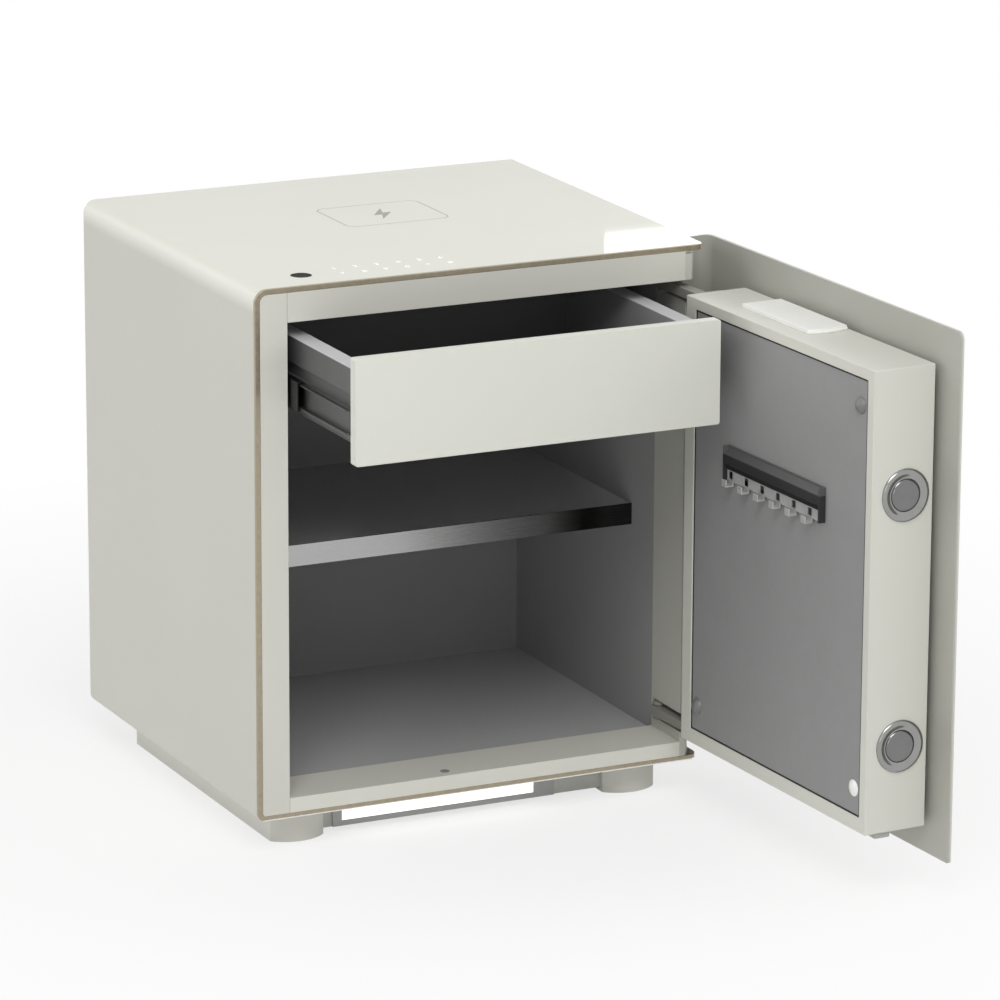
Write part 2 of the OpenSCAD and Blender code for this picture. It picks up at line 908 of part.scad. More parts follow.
module power_inlet() {
    color([0.15, 0.15, 0.15])
        body_space()
            translate([inlet_x, body_d, inlet_z])
                rotate([90, 0, 0])
                    difference() {
                        union() {
                            cylinder(h = back_recess, d = inlet_d);
                            cylinder(h = inlet_l, d = inlet_barrel_d);
                        }
                        translate([0, 0, -1])
                            cylinder(h = inlet_l - 1, d = inlet_bore);
                    }
}

// top controls
module fingerprint_sensor() {
    color([0.18, 0.19, 0.17])
        body_space()
            translate([sensor_x, sensor_y, body_h - sensor_depth])
                cylinder(h = sensor_depth, d = sensor_d - 2 * sensor_gap);
}

module touch_keys() {
    color([1, 1, 1])
        body_space()
            for (i = [0 : keys_per_row - 1])
                for (j = [0, 1])
                    translate([key_x + i * key_pitch, key_y + j * key_row_pitch, body_h])
                        cylinder(h = mark_h, d = key_d);
}

// outline and flash, set into the top plate so that a phone lies flat on it
module charging_lines(h) {
    x = charge_w / 2;
    y = charge_d / 2;
    i = charge_line;
    s = flash_l / 24;
    translate([charge_x, charge_y, body_h - mark_h])
        linear_extrude(h) {
            difference() {
                rounded2d(-x, -y, x, y, charge_r, charge_r);
                rounded2d(i - x, i - y, x - i, y - i, charge_r - i, charge_r - i);
            }
            polygon([[4 * s, 12 * s], [-6 * s, -2 * s], [-1 * s, -2 * s], [-5 * s, -12 * s],
                [6 * s, 2 * s], [1 * s, 2 * s]]);
        }
}

module charging_mark() {
    color([0.6, 0.6, 0.58])
        body_space()
            charging_lines(mark_h);
}

module sill_sensor() {
    color([0.35, 0.35, 0.35])
        body_space()
            translate([sill_sensor_x, sill_sensor_y, open_z0])
                cylinder(h = sill_sensor_h, d = sill_sensor_d);
}

// door, laid out shut
module door_panel() {
    yc = roll_r - panel_proud;
    xc = body_w - roll_r;
    color([0.80, 0.80, 0.76])
        door_space()
            intersection() {
                translate([0, 0, panel_z0])
                    linear_extrude(panel_z1 - panel_z0) {
                        panel2d(panel_x0, -panel_proud, xc, panel_back);
                        intersection() {
                            translate([xc, yc])
                                difference() {
                                    circle(roll_r);
                                    circle(roll_r - panel_t);
                                }
                            panel2d(xc, yc - roll_r, body_w, yc);
                        }
                        panel2d(body_w - panel_t, yc, body_w, flange_y);
                    }
                sweep_y(-panel_proud - 1, flange_y + panel_proud + 2)
                    rounded2d(panel_x0, panel_z0, body_w, panel_z1,
                        corner_bottom_r - trim_w, corner_top_r - trim_w);
            }
}

module door_spacer() {
    i = spacer_in;
    o = spacer_in + spacer_w;
    color([0.30, 0.30, 0.30])
        door_space()
            sweep_y(panel_back, casing_front - panel_back)
                difference() {
                    panel2d(casing_x0 + i, casing_z0 + i, casing_x1 - i, casing_z1 - i);
                    panel2d(casing_x0 + o, casing_z0 + o, casing_x1 - o, casing_z1 - o);
                }
}

module door_casing() {
    t = casing_t;
    l = ledge_w;
    color([0.86, 0.86, 0.82])
        door_space()
            difference() {
                block(casing_x0, casing_front, casing_z0, casing_x1, casing_back, casing_z1);
                block(casing_x0 + t, casing_front + t, casing_z0 + t, casing_x1 - t, casing_back - rim_d,
                    casing_z1 - t);
                block(field_x0 + l, 0, field_z0 + l, field_x1 - l, casing_back + 1, field_z1 - l);
                block(field_x0, plate_y - plate_t, field_z0, field_x1, casing_back + 1, field_z1);
                for (z = [bolt_z_low, bolt_z_high])
                    translate([casing_x0 - 1, bolt_y, z])
                        rotate([0, 90, 0])
                            cylinder(h = t + 2, d = bolt_d + 2 * bolt_run + 2 * sleeve_t);
            }
}

module door_back_plate() {
    g = gasket_w;
    color([0.55, 0.56, 0.54])
        door_space()
            block(field_x0 + g, plate_y - plate_t, field_z0 + g, field_x1 - g, plate_y, field_z1 - g);
}

module door_gasket() {
    g = gasket_w;
    color([0.08, 0.08, 0.08])
        door_space()
            sweep_y(plate_y - plate_t, plate_t + plate_recess / 2)
                difference() {
                    panel2d(field_x0, field_z0, field_x1, field_z1);
                    panel2d(field_x0 + g, field_z0 + g, field_x1 - g, field_z1 - g);
                }
}

module bolt_bezels() {
    b = bolt_d / 2 + bolt_run;
    r = bezel_d / 2;
    color([0.80, 0.80, 0.80])
        door_space()
            for (z = [bolt_z_low, bolt_z_high])
                translate([casing_x0, bolt_y, z])
                    rotate([0, -90, 0])
                        rotate_extrude()
                            polygon([[b, -sleeve_l], [b + sleeve_t, -sleeve_l], [b + sleeve_t, 0], [r, 0],
                                [r, bezel_edge], [r - bezel_bevel, bezel_t], [b + bezel_mouth, bezel_t],
                                [b, bezel_t - bezel_mouth]]);
}

module hook_rail() {
    x1 = rail_x + rail_l;
    z1 = rail_z + rail_h;
    y1 = plate_y + rail_d;
    color([0.35, 0.35, 0.35])
        door_space() {
            block(rail_x, plate_y, rail_z, x1, hook_y, z1);
            sweep_x(rail_x, rail_l)
                polygon([[plate_y, band_z], [plate_y, z1], [y1, z1 - rail_slope], [y1, band_z]]);
            for (x = [rail_x, x1 - cheek_w])
                block(x, plate_y, rail_z, x + cheek_w, y1, z1);
        }
}

function hook_x(i) = rail_x + hook_in + i * hook_pitch;

module hook_strip() {
    color([0.75, 0.75, 0.75])
        door_space()
            difference() {
                union() {
                    block(rail_x + cheek_w, hook_y, rail_z, rail_x + rail_l - cheek_w, hook_y + hook_t, band_z);
                    for (i = [0 : hook_count - 1])
                        block(hook_x(i) - hook_w / 2, hook_y, rail_z - hook_drop, hook_x(i) + hook_w / 2,
                            hook_y + hook_t, rail_z + 1);
                }
                for (i = [0 : hook_count - 1])
                    block(hook_x(i) - window_w / 2, hook_y - 1, rail_z + window_bridge, hook_x(i) + window_w / 2,
                        hook_y + hook_t + 1, rail_z + window_bridge + window_h);
            }
}

module key_hooks() {
    y0 = hook_y + hook_t;
    y1 = plate_y + hook_reach;
    z0 = rail_z - hook_drop;
    color([0.75, 0.75, 0.75])
        door_space()
            for (i = [0 : hook_count - 1])
                sweep_x(hook_x(i) - hook_w / 2, hook_w)
                    polygon([[y0, z0], [y1, z0], [y1, z0 + hook_h], [y1 - hook_t, z0 + hook_h],
                        [y1 - hook_t, z0 + hook_t], [y0, z0 + hook_t]]);
}

module dome_cap(x, z, h) {
    r = cap_d / 2;
    ball = (r * r + h * h) / (2 * h);
    translate([x, plate_y, z])
        rotate([-90, 0, 0])
            intersection() {
                cylinder(h = h, r = r);
                translate([0, 0, h - ball])
                    sphere(ball);
            }
}

module panel_caps() {
    color([0.80, 0.80, 0.78])
        door_space() {
            dome_cap(field_x0 + cap_in, field_z1 - cap_end, cap_h);
            dome_cap(field_x1 - cap_in, field_z1 - cap_end, cap_h);
            dome_cap(field_x1 - cap_in, field_z0 + cap_end, cap_h);
        }
}

module white_cap() {
    color([1, 1, 1])
        door_space()
            dome_cap(field_x0 + cap_in, field_z0 + cap_end, flat_cap_h);
}

// outline of the battery cover with its bowed end, which is set back for the lid
module cover2d(back) {
    y1 = cover_y + cover_w;
    x0 = cover_x + back;
    r = (cover_w * cover_w / 4 + cover_bow * cover_bow) / (2 * cover_bow);
    panel2d(x0, cover_y, cover_x + cover_l, y1);
    intersection() {
        panel2d(x0 - cover_bow, cover_y, x0 + 1, y1);
        translate([x0 - cover_bow + r, cover_y + cover_w / 2])
            circle(r);
    }
}

module battery_cover() {
    color([0.95, 0.95, 0.92])
        door_space()
            translate([0, 0, casing_z1]) {
                linear_extrude(cover_h - lid_h)
                    cover2d(0);
                linear_extrude(cover_h)
                    cover2d(lid_in);
            }
}

module door_glide() {
    x0 = casing_x0 + glide_in;
    y1 = casing_back - glide_back;
    color([0.12, 0.12, 0.12])
        door_space()
            block(x0, y1 - glide_l, casing_z0 - glide_h, x0 + glide_w, y1, casing_z0);
}

// hinge
module hinge_arm(z, foot_z) {
    fy = pivot_y + arm_rear;
    color([0.62, 0.62, 0.60])
        door_space()
            difference() {
                union() {
                    block(casing_x1, pivot_y - arm_front, z, pivot_x, fy, z + arm_t);
                    translate([pivot_x, pivot_y, z])
                        cylinder(h = arm_t, r = eye_r);
                    block(casing_x1, fy - foot_w, foot_z, casing_x1 + foot_t, fy, foot_z + foot_l);
                }
                translate([pivot_x, pivot_y, z - 1])
                    cylinder(h = arm_t + 2, r = pin_d / 2 + pin_run);
            }
}

module hinge_arm_top() {
    hinge_arm(arm_top_z, arm_top_z + arm_t - foot_l);
}

module hinge_arm_bottom() {
    hinge_arm(arm_low_z, arm_low_z);
}

module hinge_screws() {
    y = pivot_y + arm_rear - foot_w / 2;
    s = screw_in;
    color([0.40, 0.40, 0.40])
        door_space()
            for (z = [arm_top_z - s, arm_top_z + arm_t - foot_l + s, arm_low_z + arm_t + s, arm_low_z + foot_l - s])
                translate([casing_x1 + foot_t, y, z])
                    rotate([0, 90, 0])
                        cylinder(h = screw_h, d = screw_d);
}

module hinge_plate(z) {
    y1 = frame_d - frame_t;
    color([0.60, 0.60, 0.58])
        body_space()
            translate([0, 0, z])
                linear_extrude(hinge_plate_t) {
                    translate([pivot_x, pivot_y])
                        circle(eye_r - 1);
                    panel2d(pivot_x, pivot_y - eye_r + 1, body_w - skin_t, y1);
                }
}

module hinge_plates() {
    for (z = [arm_top_z, arm_low_z]) {
        hinge_plate(z - hinge_stack);
        hinge_plate(z + arm_t + hinge_play);
    }
}

module hinge_pins() {
    d = hinge_play + washer_t;
    color([0.80, 0.80, 0.80])
        body_space()
            for (z = [arm_top_z, arm_low_z])
                translate([pivot_x, pivot_y, z - d])
                    cylinder(h = arm_t + d + hinge_play, d = pin_d);
}

module hinge_washers() {
    color([0.80, 0.68, 0.35])
        body_space()
            for (z = [arm_top_z, arm_low_z])
                translate([pivot_x, pivot_y, z - hinge_play - washer_t])
                    difference() {
                        cylinder(h = washer_t, r = eye_r - 1);
                        translate([0, 0, -1])
                            cylinder(h = washer_t + 2, d = pin_d);
                    }
}

// lock
bolt_tip = casing_x0 - bezel_t + bolt_sunk;

module lock_bolts() {
    color([0.72, 0.72, 0.72])
        door_space()
            for (z = [bolt_z_low, bolt_z_high])
                translate([bolt_tip, bolt_y, z])
                    rotate([0, 90, 0]) {
                        cylinder(h = bolt_chamfer, d1 = bolt_d - 2 * bolt_chamfer, d2 = bolt_d);
                        translate([0, 0, bolt_chamfer])
                            cylinder(h = bolt_l - bolt_chamfer, d = bolt_d);
                    }
}

module bolt_yoke() {
    x0 = bolt_tip + bolt_l;
    color([0.50, 0.50, 0.50])
        door_space()
            block(x0, bolt_y - yoke_w / 2, bolt_z_low - bolt_d / 2, x0 + yoke_t, bolt_y + yoke_w / 2,
                bolt_z_high + bolt_d / 2);
}

module lock_motor() {
    x0 = bolt_tip + bolt_l + yoke_t + motor_gap;
    z = (bolt_z_low + bolt_z_high) / 2;
    y0 = casing_front + casing_t;
    h = motor_d / 2 + gearbox_over;
    color([0.25, 0.25, 0.28])
        door_space() {
            block(x0, y0, z - h, x0 + motor_l / 3, y0 + motor_d + gearbox_over, z + h);
            translate([x0 + motor_l / 3, y0 + (motor_d + gearbox_over) / 2, z])
                rotate([0, 90, 0])
                    cylinder(h = motor_l * 2 / 3, d = motor_d);
        }
}

// drawer, laid out shut
module drawer_front() {
    t = drawer_t;
    z1 = front_z + front_h;
    color([0.86, 0.86, 0.82])
        drawer_space()
            difference() {
                sweep_y(drawer_front_y, front_t)
                    rounded2d(front_x0, front_z, front_x1, z1, front_r, front_r);
                block(front_x0 + t, drawer_front_y + t, front_z + t, front_x1 - t, drawer_y + 1, z1 - t);
            }
}

// folded side wall: open underneath, with a groove along its outer face
module side2d() {
    t = drawer_t;
    g0 = groove_z;
    g1 = groove_z + groove_h;
    difference() {
        polygon([[0, 0], [0, g0], [groove_d, g0], [groove_d, g1], [0, g1], [0, side_h],
            [side_w, side_h], [side_w, 0]]);
        polygon([[t, -1], [t, g0 - t], [groove_d + t, g0 - t], [groove_d + t, g1 + t], [t, g1 + t],
            [t, side_h - t], [side_w - t, side_h - t], [side_w - t, -1]]);
    }
}

module drawer_side_left() {
    color([0.80, 0.80, 0.84])
        drawer_space()
            sweep_y(drawer_y, drawer_l)
                translate([drawer_x0, side_z])
                    side2d();
}

module drawer_side_right() {
    color([0.80, 0.80, 0.84])
        drawer_space()
            sweep_y(drawer_y, drawer_l)
                translate([drawer_x1, side_z])
                    mirror([1, 0])
                        side2d();
}

module drawer_floor() {
    y1 = drawer_y + drawer_l;
    x0 = drawer_x0 + side_w;
    x1 = drawer_x1 - side_w;
    color([0.55, 0.55, 0.55])
        drawer_space() {
            block(drawer_x0, drawer_y, drawer_z, drawer_x1, y1, side_z);
            block(x0, drawer_y, side_z, x1, drawer_y + drawer_t, side_z + side_h);
        }
}

module drawer_back() {
    y1 = drawer_y + drawer_l;
    color([0.60, 0.60, 0.62])
        drawer_space()
            block(drawer_x0 + side_w, y1 - drawer_t, side_z, drawer_x1 - side_w, y1, side_z + rear_h);
}

module drawer_mat() {
    y1 = drawer_y + drawer_l;
    color([0.15, 0.15, 0.15])
        drawer_space()
            block(drawer_x0 + side_w, drawer_y + drawer_t, side_z, drawer_x1 - side_w, y1 - drawer_t,
                side_z + mat_t);
}

// slide members: outline measured from the fixed side, opening towards the drawer
module channel2d(u0, u1, level) {
    z0 = level * (slide_t + slide_play);
    difference() {
        panel2d(u0, z0, u1, slide_h - z0);
        panel2d(u0 + slide_t, z0 + slide_t, u1 + 1, slide_h - z0 - slide_t);
    }
}

module slide_place(left) {
    sweep_y(slide_y, slide_l)
        translate([left ? open_x0 : channel_x, slide_z])
            mirror([left ? 0 : 1, 0])
                children();
}

mid_u0 = slide_t + slide_play;
mid_u1 = slide_gap - slide_t - slide_play - slide_free;
run_u0 = mid_u0 + slide_t + slide_play;

module fixed2d() {
    channel2d(0, mid_u1 - slide_t, 0);
}

module mid2d() {
    channel2d(mid_u0, mid_u1, 1);
}

module run2d() {
    translate([slide_gap + run_u0, 0])
        mirror([1, 0])
            channel2d(run_u0, slide_gap, 2);
    panel2d(slide_gap - slide_t, web_in, slide_gap, slide_h - web_in);
}

module slide_fixed_left() {
    color([0.55, 0.55, 0.57])
        body_space()
            slide_place(true)
                fixed2d();
}

module slide_fixed_right() {
    color([0.55, 0.55, 0.57])
        body_space()
            slide_place(false)
                fixed2d();
}

module slide_channel() {
    t = channel_t;
    z0 = slide_z - channel_over;
    z1 = slide_z + slide_h + channel_over;
    color([0.35, 0.35, 0.36])
        body_space()
            sweep_y(slide_y, slide_l)
                difference() {
                    panel2d(channel_x, z0, open_x1, z1);
                    panel2d(channel_x + t, z0 + t, open_x1 - t, z1 - t);
                }
}

module slide_mid_left() {
    color([0.65, 0.65, 0.67])
        drawer_space(0.5)
            slide_place(true)
                mid2d();
}

module slide_mid_right() {
    color([0.65, 0.65, 0.67])
        drawer_space(0.5)
            slide_place(false)
                mid2d();
}

module slide_drawer_left() {
    color([0.60, 0.60, 0.62])
        drawer_space()
            slide_place(true)
                run2d();
}

module slide_drawer_right() {
    color([0.60, 0.60, 0.62])
        drawer_space()
            slide_place(false)
                run2d();
}

outer_shell();
top_panel();
back_panel();
front_trim();
left_jamb();
right_jamb();
lintel();
sill();
inner_box();
interior_lining();
floor_mat();
shelf_plate();
shelf_lip();
shelf_brackets();
left_skid();
right_skid();
plinth_crossbar();
light_housing();
light_diffuser();
hinge_plates();
hinge_pins();
hinge_washers();
slide_fixed_left();
slide_fixed_right();
slide_channel();
fingerprint_sensor();
touch_keys();
charging_mark();
sill_sensor();
power_inlet();
door_panel();
door_spacer();
door_casing();
door_back_plate();
door_gasket();
bolt_bezels();
hook_rail();
hook_strip();
key_hooks();
panel_caps();
white_cap();
battery_cover();
door_glide();
hinge_arm_top();
hinge_arm_bottom();
hinge_screws();
lock_motor();
lock_bolts();
bolt_yoke();
drawer_front();
drawer_side_left();
drawer_side_right();
drawer_floor();
drawer_back();
drawer_mat();
slide_drawer_left();
slide_drawer_right();
slide_mid_left();
slide_mid_right();
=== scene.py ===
"""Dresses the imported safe: finishes for every node, softened edges, small fittings, stage and camera."""

import json
import math

import bpy
import numpy as np
from bpy.props import FloatProperty, FloatVectorProperty, IntProperty, PointerProperty
from mathutils import Matrix, Vector


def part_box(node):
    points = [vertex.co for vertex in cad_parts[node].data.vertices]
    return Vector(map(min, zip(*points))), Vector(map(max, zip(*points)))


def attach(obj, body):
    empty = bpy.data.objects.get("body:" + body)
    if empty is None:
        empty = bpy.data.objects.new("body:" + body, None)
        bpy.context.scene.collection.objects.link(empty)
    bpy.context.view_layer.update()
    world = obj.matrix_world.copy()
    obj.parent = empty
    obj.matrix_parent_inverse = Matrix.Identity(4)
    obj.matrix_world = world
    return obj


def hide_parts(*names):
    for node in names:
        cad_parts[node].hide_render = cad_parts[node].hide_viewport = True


bl_info = {
    "name": "Smart safe dressing",
    "version": (1, 0, 0),
    "blender": (4, 5, 0),
    "location": "View3D > Sidebar > Safe",
    "description": "Finishes, fittings and stage for the smart safe",
    "category": "Object",
}

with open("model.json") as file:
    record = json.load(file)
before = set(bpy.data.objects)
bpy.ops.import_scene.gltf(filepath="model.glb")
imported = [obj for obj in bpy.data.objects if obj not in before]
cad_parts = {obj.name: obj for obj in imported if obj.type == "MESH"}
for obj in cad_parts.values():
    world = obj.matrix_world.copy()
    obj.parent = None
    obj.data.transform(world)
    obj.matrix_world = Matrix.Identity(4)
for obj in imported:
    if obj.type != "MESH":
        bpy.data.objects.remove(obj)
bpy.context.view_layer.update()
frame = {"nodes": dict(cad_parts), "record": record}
NODES = frame["nodes"]
SLOTS = {row["node"]: row["material_slot"] for row in frame["record"]["subparts"]}
JOINTS = {joint["name"]: joint for joint in frame["record"]["behaviour"]["joints"]}

# Lengths in these constants are in millimetres, unless the comment says metres
MM = 0.001
# Where the measuring frame (left side, front plane, underside) lies in the row frame, the door's pivot in
# the measuring frame, and the way in which the bolts move
BODY_ORIGIN = np.array([-200.0, -183.5, 30.0])
DOOR_PIVOT = np.array(JOINTS["door_swing"]["pos_m"][:2]) * 1000.0 - BODY_ORIGIN[:2]
LOCK_WAY = np.array(JOINTS["bolt_throw"]["axis"][:2])
# Door's outer sheet: how far it stands before the front plane, its thickness, and the stretch on each
# side of its middle over which the tone changes to the painted shade on the inner face
PANEL_PROUD, PANEL_T, INNER_SHADE_FADE = 6.2, 3.0, 0.4
# Outer shell's painted highlight, a paler band along its rounded top edges: how far below its top it
# starts and is full, and its tone
GLEAM_START, GLEAM_FULL, PAINTED_GLEAM_TONE = 16.0, 7.0, (0.80, 0.80, 0.735)
# Painted highlight, a light line along the trim's bottom: height, the stretch over which it ends, and its
# tone
TRIM_GLEAM_H, TRIM_GLEAM_FADE, TRIM_GLEAM_TONE = 0.9, 0.3, (0.90, 0.89, 0.84)
# Shares of the frame's paint on the hinge side's jamb, the sill and the hinge's arms: darker on the jamb and
# the arms, painted shade, and lighter on the sill, painted light
REVEAL_SHADE_SHARE, SILL_LIGHT_SHARE, HINGE_SHADE_SHARE = 0.84, 1.10, 0.42
# Shares of the height at which the hook rail and the hook strip change tone, and the stretch for it. Above
# it the rail's sloped top is lighter, painted light, and the strip's top darker, painted shade
RAIL_LIGHT_FOLD, STRIP_SHADE_FOLD, FOLD_FADE = 0.77, 0.70, 0.2
# Greys along the shelf's lip, a painted reflection that falls off to the right, each with the shares of
# its length between which it is reached
LIP_REFLECTION_TONES = ((0.43, 0.0, 0.0), (0.17, 0.40, 0.78), (0.02, 0.78, 0.87), (0.07, 0.90, 0.99))
# Drawer's sides: tones of rim, inner and outer face, which are painted light on the rim and painted shade
# on the faces, darkest on the outer face, where the rim ends below the top, and the stretch on each side
# of the wall's middle over which the tone changes
RIM_LIT_TONE, INNER_FACE_SHADE, OUTER_FACE_SHADE = (0.560, 0.560, 0.578), (0.340, 0.340, 0.345), (0.085, 0.085, 0.086)
RIM_LIGHT_FULL, RIM_LIGHT_END, SIDE_FADE = 0.5, 0.9, 0.5
# Bolts and the rings round them: radius and how far the bolt's end lies below the ring's rim; the ring's
# radius and bore, height of rim and of bore edge, width of the rounded rim; sleeve's length and thickness
BOLT_R, BOLT_SUNK = 13.5, 0.3
RING_R, RING_BORE, RING_T, RING_DISH, RING_RIM = 21.75, 13.55, 2.1, 0.4, 2.6
SLEEVE_L, SLEEVE_T = 20.0, 2.5
RIM_POINTS, FACE_POINTS = 9, 12
# Stoved paint: spots to the metre and detail of its drift in tone, its drift in sheen and its orange
# peel, the tone's swing, and the peel's depth in metres
PAINT_DRIFT, PAINT_SHEEN, PAINT_PEEL = (6.0, 1.0), (35.0, 3.0), (700.0, 2.0)
PAINT_SWING, PEEL_DEPTH = 0.012, 0.00004
# Softened edges: the angles, in degrees, below which faces are shaded as one, above which an edge is
# rounded and below which faces are merged, and the distance in metres at which corners are joined
SMOOTH_BELOW, BEVEL_ABOVE, FLAT_BELOW = 48.0, 38.0, 0.6
WELD_DISTANCE, BEVEL_STEPS, NORMAL_WEIGHT = 0.000004, 3, 60
# Shares of the user's edge radii on thin sheet, on the slides and on the drawer
SHEET_SHARE, SLIDE_SHARE, DRAWER_SHARE = 0.6, 0.6, 1.5
# Touch keys: characters by row, back row first, the distance between the rows in metres, and the steps on
# a character's curves
KEY_ROWS, KEY_ROW_PITCH, KEY_CURVE_STEPS = ("123456", "7890*#"), 0.0186, 6

# Lamps: place and target, then width and height, in metres. Their powers are the stage's settings.
LAMPS = {
    "key": ((-0.9, -2.4, 3.0), (0.0, 0.0, 0.25), 2.2, 1.8),
    "side": ((-3.2, 0.9, 1.5), (-0.2, 0.0, 0.25), 1.8, 1.8),
    "fill": ((-1.6, -3.9, 1.0), (0.1, -0.2, 0.2), 1.4, 1.2),
    "ceiling": ((-0.6, 0.4, 3.4), (0.0, 0.0, 0.4), 2.0, 2.0),
    "right": ((3.0, -1.6, 1.6), (0.1, 0.0, 0.25), 1.6, 1.6),
    "edge": ((-1.75, 3.0, 1.4), (-0.2, 0.0, 0.45), 1.8, 1.6),
    "reflector": ((1.162, 1.60, 1.010), (1.162, 0.0, 1.010), 0.3, 0.2),
}
WHITE = (1.0, 1.0, 1.0, 1.0)
# Camera: width of the sensor, and how far it sees in metres
SENSOR_W, CLIP_END = 36.0, 60.0
# Floor: half its side in metres, its tone, and the share of plain white that it takes on, which goes from
# the first value to the second between two distances from the safe's middle, in metres
FLOOR_HALF, FLOOR_TONE = 25.0, (0.90, 0.90, 0.90)
FLOOR_WHITE, FLOOR_FADE = (0.72, 1.0), (0.35, 1.0)


# Sizes, colours and lights that a user would change

class SafeSizes(bpy.types.PropertyGroup):
    """Sizes of the softened edges and of the small fittings."""

    edge_soft: FloatProperty(
        name="Sheet edge radius", description="Radius on the folded sheet's edges",
        default=0.0009, min=0.0001, max=0.003, unit="LENGTH", precision=5)
    edge_fine: FloatProperty(
        name="Small edge radius", description="Radius on the edges of thin and small pieces",
        default=0.0003, min=0.0001, max=0.001, unit="LENGTH", precision=5)
    digit_size: FloatProperty(
        name="Touch digit height", description="Height of the digits on the top plate",
        default=0.0085, min=0.004, max=0.014, unit="LENGTH", precision=5)
    digit_rise: FloatProperty(
        name="Touch digit thickness", description="Thickness of the printed digits",
        default=0.00016, min=0.0001, max=0.0004, unit="LENGTH", precision=5)
    turn_steps: IntProperty(
        name="Steps round a turned piece", description="Number of faces round the bolt rings",
        default=96, min=24, max=192)


class SafeColours(bpy.types.PropertyGroup):
    """Colours of the finishes, as linear values."""

    cream: FloatVectorProperty(
        name="Cream paint", description="Paint of the body and the door", subtype="COLOR",
        size=3, default=(0.616, 0.616, 0.552), min=0.0, max=1.0)
    jamb: FloatVectorProperty(
        name="Frame paint", description="Paint of the front frame", subtype="COLOR",
        size=3, default=(0.685, 0.680, 0.615), min=0.0, max=1.0)
    top: FloatVectorProperty(
        name="Top plate", description="Glossy top plate", subtype="COLOR",
        size=3, default=(0.775, 0.775, 0.688), min=0.0, max=1.0)
    bronze: FloatVectorProperty(
        name="Bronze trim", description="Anodised edge trim", subtype="COLOR",
        size=3, default=(0.380, 0.331, 0.242), min=0.0, max=1.0)
    casing: FloatVectorProperty(
        name="Casing paint", description="Paint of the door's casing", subtype="COLOR",
        size=3, default=(0.670, 0.670, 0.605), min=0.0, max=1.0)
    plate: FloatVectorProperty(
        name="Back plate", description="Grey plate on the door's inner side", subtype="COLOR",
        size=3, default=(0.282, 0.283, 0.282), min=0.0, max=1.0)
    drawer: FloatVectorProperty(
        name="Drawer front paint", description="Paint of the drawer's front panel", subtype="COLOR",
        size=3, default=(0.720, 0.725, 0.655), min=0.0, max=1.0)
    lining: FloatVectorProperty(
        name="Lining", description="Dark lining of the inner box", subtype="COLOR",
        size=3, default=(0.330, 0.330, 0.332), min=0.0, max=1.0)
    # Inner face of the door sheet: the cream paint darkened, painted shade.
    door_sheet_inner_shade: FloatVectorProperty(
        name="Door sheet, inside", description="Paint on the inner face of the door's outer panel",
        subtype="COLOR", size=3, default=(0.450, 0.450, 0.405), min=0.0, max=1.0)


class SafeStage(bpy.types.PropertyGroup):
    """Camera and light."""

    lens: FloatProperty(
        name="Lens", description="Focal length for a 36 mm wide sensor", unit="CAMERA",
        default=208.777, min=35.0, max=400.0)
    camera_place: FloatVectorProperty(
        name="Camera place", description="Where the camera stands", subtype="TRANSLATION",
        size=3, unit="LENGTH", default=(-1.9724, -4.3082, 1.5389), precision=5)
    yaw: FloatProperty(
        name="Yaw", description="Look direction from +Y towards +X", subtype="ANGLE",
        default=0.44945936, precision=6)
    pitch: FloatProperty(
        name="Pitch", description="Look direction below the horizon", subtype="ANGLE",
        default=0.26873779, precision=6)
    roll: FloatProperty(
        name="Roll", description="Turn about the look direction", subtype="ANGLE",
        default=0.0046561, precision=6)
    sky: FloatProperty(
        name="Room light", description="Strength of the even light from all sides",
        default=0.42, min=0.0, max=2.0)
    key: FloatProperty(
        name="Key lamp", description="Power of the large lamp above the front",
        default=62.0, min=0.0, max=500.0, unit="POWER")
    side: FloatProperty(
        name="Side lamp", description="Power of the lamp behind the left side",
        default=21.0, min=0.0, max=500.0, unit="POWER")
    fill: FloatProperty(
        name="Fill lamp", description="Power of the low lamp beside the camera",
        default=5.5, min=0.0, max=500.0, unit="POWER")
    ceiling: FloatProperty(
        name="Ceiling lamp", description="Power of the lamp over the top plate",
        default=5.0, min=0.0, max=500.0, unit="POWER")
    right: FloatProperty(
        name="Right lamp", description="Power of the lamp on the right, which reflections don't show",
        default=17.0, min=0.0, max=500.0, unit="POWER")
    edge: FloatProperty(
        name="Edge lamp", description="Power of the lamp that shows only as a gleam on rounded edges",
        default=7.0, min=0.0, max=300.0, unit="POWER")
    reflector: FloatProperty(
        name="Reflector", description="Power of the small lamp that the top plate mirrors",
        default=0.62, min=0.0, max=50.0, unit="POWER")


# Places and meshes

def door_place(points):
    """Shut door in the measuring frame to the row frame, in metres: turned about the pivot by the angle
    that the bolts' axis has, then shifted."""
    points = np.array(points, float)
    cos_a, sin_a = -LOCK_WAY[0], -LOCK_WAY[1]
    x = points[..., 0] - DOOR_PIVOT[0]
    y = points[..., 1] - DOOR_PIVOT[1]
    points[..., 0] = DOOR_PIVOT[0] + x * cos_a - y * sin_a
    points[..., 1] = DOOR_PIVOT[1] + x * sin_a + y * cos_a
    return (points + BODY_ORIGIN) * MM


def mesh_piece(name, vertices, faces, material, body, smooth=True):
    """An object at the origin whose mesh holds the place."""
    mesh = bpy.data.meshes.new(name)
    mesh.from_pydata(vertices.tolist(), [], faces)
    mesh.validate()
    mesh.polygons.foreach_set("use_smooth", np.full(len(mesh.polygons), smooth))
    mesh.materials.append(material)
    piece = bpy.data.objects.new(name, mesh)
    bpy.context.scene.collection.objects.link(piece)
    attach(piece, body)
    return piece


# Finishes

def shaded(colour, share):
    """The colour times the share."""
    return tuple(min(1.0, c * share) for c in colour)


